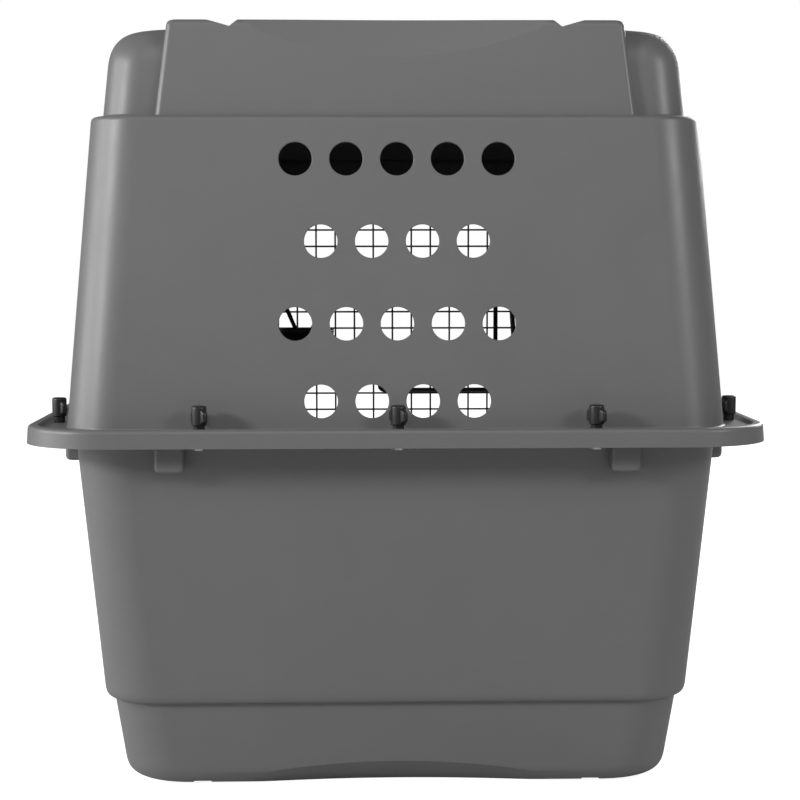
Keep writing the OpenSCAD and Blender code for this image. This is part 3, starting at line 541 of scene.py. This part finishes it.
# %% [markdown]
# ## The lower shell
# The lower shell is a tub: a floor, a plinth, a rounded step, tapered walls and a flange that the rim sits
# on. Lugs hang under the flange, two grooves run along its foot, and a shallow arc is cut across each end
# of the plinth.

# %% Lower shell
LOWER_R, LOWER_IN, STEP_IN, PLINTH_IN, BASE_IN = 40, 32.5, 49.4, 55, 63.9
BASE_FLAT_IN, BASE_FLAT_R = 94, 36
PLINTH_Z, STEP_Z, UNDER_Z, FLANGE_IN, FLANGE_R = 62, 63.6, PART_Z - WALL, 4, 56.1
BASE_ROUND, PLINTH_ROUND, STEP_ROUND, FLANGE_ROUND = (13, 15), 1.2, (4, 7), 2.5
lower = solid("lower_shell_skin", *skin([
    even(0, BASE_FLAT_IN, BASE_FLAT_R), even(0, BASE_IN, LOWER_R, *BASE_ROUND),
    even(PLINTH_Z, PLINTH_IN, LOWER_R, PLINTH_ROUND), even(STEP_Z, STEP_IN, LOWER_R, *STEP_ROUND),
    even(UNDER_Z, LOWER_IN, LOWER_R, FLANGE_ROUND),
    even(UNDER_Z, FLANGE_IN, FLANGE_R), even(PART_Z, FLANGE_IN, FLANGE_R)]))

# %% Room inside the lower shell
FLOOR_T, TUB_R, TUB_ABOVE = 5, LOWER_R - WALL, 9
FLOOR_FLAT_IN, FLOOR_EDGE_IN, TUB_FOOT_IN, STEP_INNER_IN = 98, 84, 66, 52
FLOOR_FLAT_R, FLOOR_EDGE_R, TUB_FOOT_Z, STEP_INNER_LOW_Z, STEP_INNER_Z = 20, 34, 12, 65.5, 77.5
TUB_FOOT_ROUND, STEP_LOW_ROUND, STEP_INNER_ROUND, TUB_TOP_ROUND = 8, 3, 4, 1.5
carve(lower, solid("tub", *skin([
    even(FLOOR_T, FLOOR_FLAT_IN, FLOOR_FLAT_R), even(FLOOR_T, FLOOR_EDGE_IN, FLOOR_EDGE_R),
    even(TUB_FOOT_Z, TUB_FOOT_IN, TUB_R, TUB_FOOT_ROUND),
    even(STEP_INNER_LOW_Z, PLINTH_IN + WALL, TUB_R, STEP_LOW_ROUND),
    even(STEP_INNER_Z, STEP_INNER_IN, TUB_R, STEP_INNER_ROUND),
    even(UNDER_Z, LOWER_IN + WALL, TUB_R, TUB_TOP_ROUND),
    even(UNDER_Z + TUB_ABOVE, LOWER_IN + WALL, TUB_R)])), "DIFFERENCE")
print("lower shell with its room:", len(lower.data.polygons), "faces")

# %% Lugs, foot grooves and arcs
LUG_HALF_W, LUG_HALF_L, LUG_R, LUG_FOOT_Z, LUG_HEAD_Z, LUG_SINK = 10.1, 9.5, 3.2, 231, 254.5, 2.0
REAR_LUG_X, SIDE_LUG_Y = 157.7, 238.6
FOOT_GROOVE_IN, FOOT_GROOVE_OUT, FOOT_GROOVE_DEPTH, FOOT_GROOVE_DRAFT = 133.5, 147.6, 2.4, 0.6
ARC_R, ARC_HALF, ARC_Z, ARC_IN, PLINTH_DRAFT, BELOW = 885, 130, 19.2, 22, 7, 5
LOWER_HOLE_Z = 91.8


def turned(points, angle):
    """Points turned about the Z axis: (x cos a - y sin a, x sin a + y cos a, z)."""
    c, s = math.cos(angle), math.sin(angle)
    return points @ np.array([[c, s, 0], [-s, c, 0], [0, 0, 1]])


def lug(x, y, angle):
    """A lug that hangs from the flange against the wall, its corners and lower edges rounded."""
    levels = [(0, 3.4, 2.5), (0.4, 1.7, 3), (1.6, 0.5, LUG_R), (3.6, 0, LUG_R),
              (LUG_HEAD_Z - LUG_FOOT_Z, 0, LUG_R)]
    points, faces = stack(LUG_HALF_W, LUG_HALF_L, [(LUG_FOOT_Z + z, w, w, r) for z, w, r in levels])
    return turned(points + (0, LUG_HALF_L - WALL, 0), angle) + (x, y, 0), faces


def foot_groove(side):
    """A cutter for one groove along the foot, a little narrower at its depth."""
    wide = [side * FOOT_GROOVE_IN, side * FOOT_GROOVE_OUT]
    narrow = [side * (FOOT_GROOVE_OUT - FOOT_GROOVE_DRAFT), side * (FOOT_GROOVE_IN + FOOT_GROOVE_DRAFT)]
    return solid("foot", *lengthwise([(wide[0], -BELOW), (wide[1], -BELOW), (narrow[0], FOOT_GROOVE_DEPTH),
                                      (narrow[1], FOOT_GROOVE_DEPTH)]))


lug_y, lug_x = HALF_L - LOWER_IN - LUG_SINK, HALF_W - LOWER_IN - LUG_SINK
lugs = [lug(x, lug_y, 0) for x in (-REAR_LUG_X, REAR_LUG_X)]
lugs += [lug(s * lug_x, y, -s * math.pi / 2) for y in (-SIDE_LUG_Y, 0, SIDE_LUG_Y) for s in (-1, 1)]
carve(lower, one_solid("lugs", lugs), "UNION")
for s in (-1, 1):
    carve(lower, foot_groove(s), "DIFFERENCE")
    y = s * (HALF_L - PLINTH_IN - PLINTH_DRAFT * (1 - ARC_Z / PLINTH_Z))
    carve(lower, solid("arc", *scoop(ARC_R, (y, ARC_Z), (y - s * ARC_IN, 0), ARC_HALF)), "DIFFERENCE")

# Levels through the middle of the plastic, from the step up the wall and out along the flange
LOWER_MIDDLE = [
    even(74, 50.2, 38), even(254.2, 34.2, 38), even(254.2, 6.5, 53.5), even(PART_Z, 6.5, 53.5)]
open_doorway(lower, LOWER_MIDDLE, LOWER_HOLE_Z)
finish_shell(lower, "lower_shell")

# %% [markdown]
# ## Wing nuts
# Each nut is a turned barrel with a neck and a blind threaded hole, and a plate with two rounded wings
# across it. The plate's rim is rolled: its outline moves in by e(1 - cos f) while its thickness grows by e
# sin f. The nuts are alike, so one is made and copied, and each copy goes to the place that the frame gives
# for it.

# %% Wing nuts
NUT_H, BARREL_R, NECK_R, NECK_H, NUT_HOLE_R, NUT_HOLE_H = 18, 5.2, 4, 4.5, 2.56, 12
WING_HALF, WING_T, WING_EDGE, WING_STEPS, REST_GAP, TURN = 9, 4, 1.5, 6, 0.1, 35
# A ring of this radius stands for a point on the axis, and its cap closes the form.
AXIS = 0.01
NUT_TURN = {"rear": 90 + TURN, "left": 90 + TURN, "right": 90 - TURN, "front": TURN}


def lathe(levels, sides=40):
    """Points (radius, z) turned about the Z axis, with a cap on the first and the last ring."""
    r, z = np.asarray(levels, float).T
    a = np.linspace(0, 2 * np.pi, sides, endpoint=False)
    p = np.stack([r[:, None] * np.cos(a), r[:, None] * np.sin(a), z[:, None] + 0 * a], axis=-1)
    return p.reshape(-1, 3), capped(len(r), sides)


def plate(outline, thickness, edge, steps=5):
    """A plate in the XZ plane with a rolled rim: its outline moves in along the normals as it thickens."""
    o = np.asarray(outline, float)
    t = np.roll(o, -1, 0) - np.roll(o, 1, 0)
    inward = np.column_stack([-t[:, 1], t[:, 0]]) / np.linalg.norm(t, axis=1)[:, None]
    f = np.radians(np.linspace(0, 90, steps + 1))
    half = [(edge * (1 - math.cos(b)), thickness / 2 - edge + edge * math.sin(b)) for b in f]
    rows = [(move, -y) for move, y in half[::-1]] + half
    p = [np.column_stack([*(o + inward * move).T, np.full(len(o), y)])[:, [0, 2, 1]] for move, y in rows]
    return np.concatenate(p), capped(len(rows), len(o))


def rounded_line(points, steps=5):
    """An open list of (r, z) points, each bent by its reach, as a line for the lathe."""
    at = np.array([p[:2] for p in points], float)
    out = []
    for k, point in enumerate(points):
        if len(point) < 3:
            out.append(at[k:k + 1])
            continue
        back, ahead = at[k - 1] - at[k], at[k + 1] - at[k]
        out.append(bend(at[k] + back * point[2] / np.linalg.norm(back), at[k],
                        at[k] + ahead * point[2] / np.linalg.norm(ahead), steps))
    return np.concatenate(out)


def nut_mesh():
    """One nut, its seat at the origin: a barrel from (radius, z, reach) and wings from (x, z, radius)."""
    barrel = solid("barrel", *lathe(rounded_line([
        (AXIS, NUT_HOLE_H), (NUT_HOLE_R, NUT_HOLE_H), (NUT_HOLE_R, 0), (NECK_R, 0, 0.4),
        (NECK_R, NECK_H, 0.5), (BARREL_R, NECK_H + 0.2, 0.5), (BARREL_R, NUT_H, 1.6), (AXIS, NUT_H)])))
    right = [(WING_HALF, 7.1, 2.1), (WING_HALF, 15, 3.5), (5.0, 15.6, 2)]
    left = [(-x, z, r) for x, z, r in right[::-1]]
    outline = rounded(right + [(0, 14.2, 4)] + left + [(-4, 4.6, 1), (4, 4.6, 1)], WING_STEPS)
    carve(barrel, solid("wings", *plate(outline, WING_T, WING_EDGE)), "UNION")
    mesh = barrel.data
    bpy.data.objects.remove(barrel)
    return mesh


def nut_axis(name):
    """Where the axis of a nut stands: the middle of its box in the frame, in millimetres."""
    low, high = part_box("wing_nut_" + name)
    return [round((a + b) / 2 / MM, 1) for a, b in zip(low, high)][:2]


def add_nut(name, master):
    """A copy of the nut, turned as the nuts on its side are and set on the rim."""
    mesh = master.copy()
    p = np.empty(3 * len(mesh.vertices))
    mesh.vertices.foreach_get("co", p)
    angle = math.radians(NUT_TURN[name.split("_")[0]])
    p = turned(p.reshape(-1, 3), angle) + np.array([*nut_axis(name), SEAT_Z + REST_GAP]) * MM
    mesh.vertices.foreach_set("co", p.ravel())
    mesh.update()
    piece = add_object("nut_piece_" + name, mesh)
    return dress(piece, "nut_" + name, "wing_nut_" + name, angle=38)


nut_names = ["rear_left", "rear_middle", "rear_right", "front_left", "front_right"]
nut_names += [side + str(i) for i in (1, 2, 3, 4) for side in ("left_", "right_")]
master = nut_mesh()
nut_pieces = [add_nut(name, master) for name in nut_names]

# %% [markdown]
# ## Wire, springs and cup
# The door frame is one wire swept round a closed line. A latch spring is a wire swept along a helix whose
# first and last turns lie close. The cup is a skin through levels, like the shells.

# %% Swept wire
FRAME_R, FRAME_SIDES, FRAME_BEND_STEPS, FRAME_STEP = 2.5, 24, 16, 12.0


def tube(line, radius, sides, closed):
    """A round wire: at each point of a line, radius * (n cos a + b sin a) in the plane square to the line."""
    line = np.asarray(line, float)
    ahead = np.roll(line, -1, 0) - np.roll(line, 1, 0)
    if not closed:
        ahead[0], ahead[-1] = line[1] - line[0], line[-1] - line[-2]
    t = ahead / np.linalg.norm(ahead, axis=1)[:, None]
    hint = np.array([0, 1.0, 0]) if closed else np.array([0, 0, 1.0])
    b = np.cross(t, hint)
    b /= np.linalg.norm(b, axis=1)[:, None]
    n = np.cross(b, t)
    a = np.linspace(0, 2 * np.pi, sides, endpoint=False)[None, :, None]
    p = line[:, None] + radius * (n[:, None] * np.cos(a) + b[:, None] * np.sin(a))
    faces = grid_faces(len(line), sides, wrap_rows=True) if closed else capped(len(line), sides)
    return p.reshape(-1, 3), faces


def densely(line, step):
    """A closed line with points added until none are further apart than the step."""
    out = []
    for p, q in zip(line, np.roll(line, -1, 0)):
        count = max(1, math.ceil(np.linalg.norm(q - p) / step))
        out.append(p + (q - p) * np.linspace(0, 1, count, endpoint=False)[:, None])
    return np.concatenate(out)


flat = densely(door_line(0, FRAME_BEND_STEPS), FRAME_STEP)
frame_line = np.column_stack([flat[:, 0], np.full(len(flat), DOOR_Y), flat[:, 1]])
door_frame = add_piece("door_frame_wire", *tube(frame_line, FRAME_R, FRAME_SIDES, True),
                       "door", "door_wire", "door_frame")

# %% Latch springs
SPRING_R, SPRING_WIRE, SPRING_L, TURNS, TURN_STEPS, CLOSE_GAP = 3.9, 1.2, 16.0, 6, 28, 0.5
UPPER_SPRING_Z, LOWER_SPRING_Z = 344.28, 153.58


def spring_line(low_z):
    """The helix (r cos 2 pi t, r sin 2 pi t, z(t)), which climbs slowly in its first and last turns."""
    t = np.linspace(0, TURNS, TURNS * TURN_STEPS + 1)
    close = SPRING_WIRE + CLOSE_GAP
    climb = SPRING_L - SPRING_WIRE
    z = SPRING_WIRE / 2 + np.interp(t, [0, 1, TURNS - 1, TURNS], [0, close, climb - close, climb])
    return np.column_stack([LATCH[0] + SPRING_R * np.cos(2 * np.pi * t),
                            LATCH[1] + SPRING_R * np.sin(2 * np.pi * t), low_z + z])


def add_spring(name, low_z):
    """A spring of wire swept along the helix, shaded smooth; the measured spring it stands for is hidden."""
    points, faces = tube(spring_line(low_z), SPRING_WIRE / 2, 12, False)
    spring = add_object(name + "_spring_wire", make_mesh(name + "_spring_wire", points, faces))
    smooth(spring.data)
    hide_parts(name + "_latch_spring")
    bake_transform(spring)
    print(spring.name, len(spring.data.polygons), "faces")
    return spring


springs = [
    add_spring("upper", UPPER_SPRING_Z),
    add_spring("lower", LOWER_SPRING_Z)]

# %% Feed cup
CUP, CUP_HALF_W, CUP_HALF_L, CUP_H, CUP_FLOOR, LIP_Z = (80.0, -252.6, 260.65), 30.5, 31, 46, 1.8, 42.2
CUP_R_AT_Z, CUP_R = [0, 8, 20], [12, 8.5, 4]


def cup_levels():
    """Levels of the cup: height, inset from its lip twice and corner radius, outside up and inside down."""
    at = [(0, 20), (0, 6.9, 2.5), (LIP_Z - 0.3, 1.3, 0.6), (LIP_Z, 0, 0.5), (CUP_H, 0, 0.8),
          (CUP_H, 2.1, 0.8), (CUP_H - 5, 3.1, 2.0), (CUP_FLOOR, 8.4, 3.0), (CUP_FLOOR, 20)]
    line = rounded_line(at)
    inset = line[:, 1]
    return np.column_stack([line[:, 0], inset, inset, np.interp(inset, CUP_R_AT_Z, CUP_R)])


cup_points, cup_faces = stack(CUP_HALF_W, CUP_HALF_L, cup_levels())
cup = add_piece("cup_skin", cup_points + CUP, cup_faces, "cup", "black_plastic", "feed_cup")

# %% [markdown]
# ## Shared finishes
# Each finish is a node group that turns object coordinates into a colour, a roughness and a height. Fine
# grain comes from a noise of less than a millimetre, and slow changes of gloss and tone from a noise of a
# hand's width, because a plain colour would look like a drawing.

# %% Node helpers
def new_group(name, outputs):
    """An empty node group with the outputs named, each a colour or a number."""
    group = bpy.data.node_groups.new(name, "ShaderNodeTree")
    for label, kind in outputs:
        group.interface.new_socket(label, in_out="OUTPUT", socket_type=kind)
    return group


def add_input(group, label, kind, value):
    """One input of a group, with the value it has unless a material changes it."""
    socket = group.interface.new_socket(label, in_out="INPUT", socket_type=kind)
    socket.default_value = value


def node(tree, kind, values=(), **settings):
    """A node with settings, and with values put on its input sockets by name or number."""
    made = tree.nodes.new(kind)
    for key, value in settings.items():
        setattr(made, key, value)
    for key, value in dict(values).items():
        made.inputs[key].default_value = value
    return made


def noise(tree, vector, scale, detail=2.0, stretch=None):
    """Noise with features 1 / scale metres wide, stretched by a Mapping node if they run longer one way."""
    if stretch:
        mapped = node(tree, "ShaderNodeMapping", {"Scale": stretch})
        tree.links.new(vector, mapped.inputs["Vector"])
        vector = mapped.outputs["Vector"]
    made = node(tree, "ShaderNodeTexNoise", {"Scale": scale, "Detail": detail, "Roughness": 0.55})
    tree.links.new(vector, made.inputs["Vector"])
    return made.outputs["Fac"]


def spread(tree, value, low, high, to_low, to_high):
    """Maps low..high to to_low..to_high and holds the ends."""
    made = node(tree, "ShaderNodeMapRange",
                {"From Min": low, "From Max": high, "To Min": to_low, "To Max": to_high})
    tree.links.new(value, made.inputs["Value"])
    return made.outputs["Result"]


def maths(tree, operation, a, b):
    """a and b, each a socket or a number, put together by one operation."""
    made = node(tree, "ShaderNodeMath", operation=operation)
    for k, value in enumerate((a, b)):
        if isinstance(value, (int, float)):
            made.inputs[k].default_value = value
        else:
            tree.links.new(value, made.inputs[k])
    return made.outputs[0]


def tint(tree, colour, factor):
    """The colour times a factor near one."""
    made = node(tree, "ShaderNodeVectorMath", operation="SCALE")
    tree.links.new(colour, made.inputs[0])
    tree.links.new(factor, made.inputs["Scale"])
    return made.outputs[0]


def blend_colour(tree, factor, a, b):
    """Colour a where the factor is nought and colour b where it is one."""
    made = node(tree, "ShaderNodeMix", data_type="RGBA")
    for key, value in (("Factor", factor), ("A", a), ("B", b)):
        socket = [s for s in made.inputs if s.name == key and s.enabled][0]
        if isinstance(value, tuple):
            socket.default_value = value
        else:
            tree.links.new(value, socket)
    return [s for s in made.outputs if s.enabled][0]


FINISH = (("Base Color", "NodeSocketColor"), ("Roughness", "NodeSocketFloat"), ("Height", "NodeSocketFloat"))


def begin(name):
    """A finish group with its usual inputs, its object coordinates and its group nodes."""
    group = new_group(name, FINISH)
    add_input(group, "Color", "NodeSocketColor", (0.2, 0.2, 0.2, 1))
    add_input(group, "Roughness", "NodeSocketFloat", 0.4)
    add_input(group, "Grain Scale", "NodeSocketFloat", 1200.0)
    start, end = group.nodes.new("NodeGroupInput"), group.nodes.new("NodeGroupOutput")
    place = group.nodes.new("ShaderNodeTexCoord").outputs["Object"]
    return group, start, end, place


# %% [markdown]
# ### Moulded plastic
# The shells have a fine matt grain from the mould. The melt leaves slow changes of tone and gloss, and
# handling leaves a few faint rubbed streaks. The black parts get the same group with a finer grain.

# %% Moulded plastic group
FLOW_SCALE, CLOUD_SCALE, STREAK_SCALE, STREAK_STRETCH = 7.0, 42.0, 16.0, (1.0, 1.0, 14.0)
RUBBED_TONE, RUBBED_GLOSS = 0.02, 0.03


def moulded_plastic():
    """Grain height, gloss that drifts by a few hundredths, faint streaks and a slow change of tone."""
    group, start, end, place = begin("Moulded plastic")
    grain = group.nodes.new("ShaderNodeTexNoise")
    grain.inputs["Detail"].default_value = 3.0
    group.links.new(place, grain.inputs["Vector"])
    group.links.new(start.outputs["Grain Scale"], grain.inputs["Scale"])
    flow = noise(group, place, FLOW_SCALE, 3.0)
    cloud = noise(group, place, CLOUD_SCALE, 3.0)
    streak = noise(group, place, STREAK_SCALE, 4.0, stretch=STREAK_STRETCH)
    rubbed = spread(group, streak, 0.6, 0.78, 0.0, 1.0)
    tone = spread(group, flow, 0.3, 0.7, 0.975, 1.02)
    tone = maths(group, "ADD", tone, spread(group, cloud, 0.3, 0.7, -0.012, 0.012))
    tone = maths(group, "ADD", tone, maths(group, "MULTIPLY", rubbed, RUBBED_TONE))
    group.links.new(tint(group, start.outputs["Color"], tone), end.inputs["Base Color"])
    gloss = maths(group, "ADD", start.outputs["Roughness"], spread(group, flow, 0.3, 0.7, -0.03, 0.03))
    gloss = maths(group, "ADD", gloss, spread(group, cloud, 0.3, 0.7, -0.02, 0.02))
    gloss = maths(group, "ADD", gloss, maths(group, "MULTIPLY", rubbed, RUBBED_GLOSS))
    group.links.new(gloss, end.inputs["Roughness"])
    group.links.new(grain.outputs["Fac"], end.inputs["Height"])
    return group


# %% [markdown]
# ### Coated wire and zinc
# Coated wire is nearly black with a slightly orange-peeled skin. Zinc plating is bright, with soft cloudy
# patches and fine scratches along the part.

# %% Metal groups
WORN_COAT, SPOT_SCALE, DRIFT_SCALE = (0.16, 0.16, 0.165, 1), 160.0, 30.0
PLATE_CLOUD_SCALE, SCRATCH_SCALE, SCRATCH_STRETCH = 260.0, 900.0, (1.0, 1.0, 0.1)


def coated_wire():
    """A rippled skin, and small spots where the coat has worn and shows paler."""
    group, start, end, place = begin("Coated wire")
    peel = group.nodes.new("ShaderNodeTexNoise")
    group.links.new(place, peel.inputs["Vector"])
    group.links.new(start.outputs["Grain Scale"], peel.inputs["Scale"])
    spots = spread(group, noise(group, place, SPOT_SCALE, 4.0), 0.66, 0.72, 0.0, 1.0)
    drift = spread(group, noise(group, place, DRIFT_SCALE), 0.3, 0.7, 0.85, 1.15)
    coat = tint(group, start.outputs["Color"], drift)
    group.links.new(blend_colour(group, spots, coat, WORN_COAT), end.inputs["Base Color"])
    gloss = maths(group, "ADD", start.outputs["Roughness"], maths(group, "MULTIPLY", spots, 0.2))
    group.links.new(gloss, end.inputs["Roughness"])
    group.links.new(peel.outputs["Fac"], end.inputs["Height"])
    return group


def zinc_plating():
    """Cloudy patches and fine scratches in a bright grey."""
    group, start, end, place = begin("Zinc plating")
    cloud = spread(group, noise(group, place, PLATE_CLOUD_SCALE, 3.0), 0.3, 0.7, 0.86, 1.06)
    scratch = noise(group, place, SCRATCH_SCALE, 2.0, stretch=SCRATCH_STRETCH)
    group.links.new(tint(group, start.outputs["Color"], cloud), end.inputs["Base Color"])
    gloss = maths(group, "ADD", start.outputs["Roughness"], spread(group, scratch, 0.35, 0.65, -0.06, 0.08))
    group.links.new(gloss, end.inputs["Roughness"])
    group.links.new(scratch, end.inputs["Height"])
    return group


# %% [markdown]
# ## Materials
# A material is a principled surface fed by one finish group, with the height turned into a bump of a real
# depth. The measured parts that stay in view get the same materials as the pieces that were built here.

# %% Materials
def material(name, group, colour, roughness, grain, depth, metallic=0.0, coat=0.0):
    """A principled surface fed by a finish group; depth is the height of its bump in metres."""
    made = bpy.data.materials.new(name)
    made.use_nodes = True
    tree = made.node_tree
    surface = tree.nodes["Principled BSDF"]
    finish = node(tree, "ShaderNodeGroup", node_tree=group)
    finish.inputs["Color"].default_value = (*colour, 1)
    finish.inputs["Roughness"].default_value = roughness
    finish.inputs["Grain Scale"].default_value = grain
    bump = node(tree, "ShaderNodeBump", {"Strength": 1.0, "Distance": depth})
    tree.links.new(finish.outputs["Base Color"], surface.inputs["Base Color"])
    tree.links.new(finish.outputs["Roughness"], surface.inputs["Roughness"])
    tree.links.new(finish.outputs["Height"], bump.inputs["Height"])
    tree.links.new(bump.outputs["Normal"], surface.inputs["Normal"])
    surface.inputs["Metallic"].default_value = metallic
    surface.inputs["Coat Weight"].default_value = coat
    return made


plastic_group, wire_group, zinc_group = moulded_plastic(), coated_wire(), zinc_plating()
materials = {
    "shell_plastic": material("satin_grey_plastic", plastic_group, (0.16, 0.16, 0.16), 0.4, 1100.0, 0.00006),
    "black_plastic": material("black_nylon", plastic_group, (0.015, 0.015, 0.016), 0.4, 1600.0, 0.00004),
    "door_wire": material("dark_coated_wire", wire_group, (0.05, 0.05, 0.052), 0.35, 700.0, 0.00005,
                          coat=0.2),
    "zinc": material("zinc_plate", zinc_group, (0.72, 0.72, 0.7), 0.3, 900.0, 0.00002, metallic=1.0),
}
KEPT = {
    "door_uprights": "door_wire", "door_cross_wires": "door_wire", "hinge_rod": "door_wire",
    "upper_latch_rod": "door_wire", "lower_latch_rod": "door_wire", "latch_guides": "black_plastic",
    "flange_bolts": "zinc", "upper_rod_collar": "black_plastic", "lower_rod_collar": "black_plastic",
    "cup_hooks": "black_plastic",
}


def paint(obj, slot):
    """Gives an object one material only."""
    obj.data.materials.clear()
    obj.data.materials.append(materials[slot])


for slot, pieces in (("shell_plastic", [upper, lower]), ("black_plastic", nut_pieces + [cup]),
                     ("door_wire", [door_frame]), ("zinc", springs)):
    for piece in pieces:
        paint(piece, slot)
for name, slot in KEPT.items():
    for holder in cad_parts[name].material_slots:
        holder.material = materials[slot]
print("materials:", ", ".join(materials))

# %% [markdown]
# ## Camera
# The photograph shows the rear from a little to one side and a little above the rim. Its perspective, read
# from how much smaller the far edges look than the near ones, puts the camera 1.27 m behind the rim.

# %% Camera
CAMERA_PLACE, CAMERA_LENS = (0.03206, 1.6265, 0.38152), 84.86
CAMERA_YAW, CAMERA_PITCH, CAMERA_ROLL = 1.477, 4.43, -0.07


def aim(obj, place, yaw, pitch, roll):
    """Puts an object at a place, looking along -Y turned towards -X, tipped down and rolled, in degrees."""
    y, p = math.radians(yaw), math.radians(pitch)
    way = Vector((-math.sin(y) * math.cos(p), -math.cos(y) * math.cos(p), -math.sin(p)))
    obj.location = place
    facing = way.to_track_quat("-Z", "Y").to_matrix() @ Matrix.Rotation(math.radians(roll), 3, "Z")
    obj.rotation_euler = facing.to_euler()


camera = bpy.data.objects.new("camera", bpy.data.cameras.new("camera"))
bpy.context.scene.collection.objects.link(camera)
camera.data.lens = CAMERA_LENS
camera.data.sensor_width = 36.0
camera.data.clip_start = 0.05
camera.data.dof.use_dof = False
aim(camera, CAMERA_PLACE, CAMERA_YAW, CAMERA_PITCH, CAMERA_ROLL)
bpy.context.scene.camera = camera
print("camera:", CAMERA_LENS, "mm lens at", CAMERA_PLACE)

# %% [markdown]
# ## Light
# The key lamp, on the left, models the rear wall and throws the nuts' shadows. A wide lamp beside the
# kennel on the same side lights its left flank, a weaker one on the right its right flank. A faint one over
# the camera and a dim world fill in, and the floor sends light up to the lower shell. The last lamp lights
# the door side, for the turned views. The camera itself sees white behind the kennel.

# %% Lamps
def area_light(name, place, target, size, watts):
    """A square lamp of a size in metres, aimed at a point."""
    lamp = bpy.data.lights.new(name, "AREA")
    lamp.shape, lamp.size, lamp.energy = "SQUARE", size, watts
    obj = bpy.data.objects.new(name, lamp)
    bpy.context.scene.collection.objects.link(obj)
    obj.location = place
    obj.rotation_euler = (Vector(target) - Vector(place)).to_track_quat("-Z", "Y").to_euler()


area_light("key", (2.2, 1.42, 1.1), (0, 0.3, 0.3), 0.4, 31)
area_light("side", (2.5, 0.25, 0.9), (0, 0, 0.3), 1.3, 31)
area_light("right", (-1.9, 1.7, 1.2), (0, 0, 0.3), 0.6, 16)
area_light("behind the camera", (0.1, 2.3, 1.9), (0, 0, 0.3), 1.3, 11)
area_light("door side", (-1.6, -2.2, 1.3), (0, 0, 0.3), 1.2, 40)
print("lamps:", len(bpy.data.lights))

# %% Backdrop and floor
SEEN_SKY, LIT_SKY = 1.0, 0.16
FLOOR_HALF, FLOOR_Z, FLOOR_GREY, FLOOR_ROUGHNESS, FLOOR_LIFT = 4000, -0.5, 0.6, 0.9, 0.92
WHITE = (1, 1, 1, 1)

world = bpy.data.worlds.new("studio")
bpy.context.scene.world = world
world.use_nodes = True
sky = world.node_tree
sky.nodes.clear()
seen = node(sky, "ShaderNodeBackground", {"Color": WHITE, "Strength": SEEN_SKY})
lit = node(sky, "ShaderNodeBackground", {"Color": WHITE, "Strength": LIT_SKY})
ray, mix, out = (node(sky, "ShaderNode" + kind) for kind in ("LightPath", "MixShader", "OutputWorld"))
sky.links.new(ray.outputs["Is Camera Ray"], mix.inputs[0])
sky.links.new(lit.outputs[0], mix.inputs[1])
sky.links.new(seen.outputs[0], mix.inputs[2])
sky.links.new(mix.outputs[0], out.inputs["Surface"])
bpy.context.scene.view_settings.view_transform = "Standard"

floor_corners = [(x * FLOOR_HALF, y * FLOOR_HALF, FLOOR_Z) for x, y in ((-1, -1), (1, -1), (1, 1), (-1, 1))]
floor = add_object("floor", make_mesh("floor", floor_corners, [(0, 1, 2, 3)]))
paper = bpy.data.materials.new("paper")
paper.use_nodes = True
tree = paper.node_tree
surface = tree.nodes["Principled BSDF"]
surface.inputs["Base Color"].default_value = (FLOOR_GREY, FLOOR_GREY, FLOOR_GREY, 1)
surface.inputs["Roughness"].default_value = FLOOR_ROUGHNESS
surface.inputs["Emission Color"].default_value = WHITE
# The paper is lifted to white for the camera alone, so that it lights the kennel as plain paper would.
ray = node(tree, "ShaderNodeLightPath")
lift = maths(tree, "MULTIPLY", ray.outputs["Is Camera Ray"], FLOOR_LIFT)
tree.links.new(lift, surface.inputs["Emission Strength"])
floor.data.materials.append(paper)
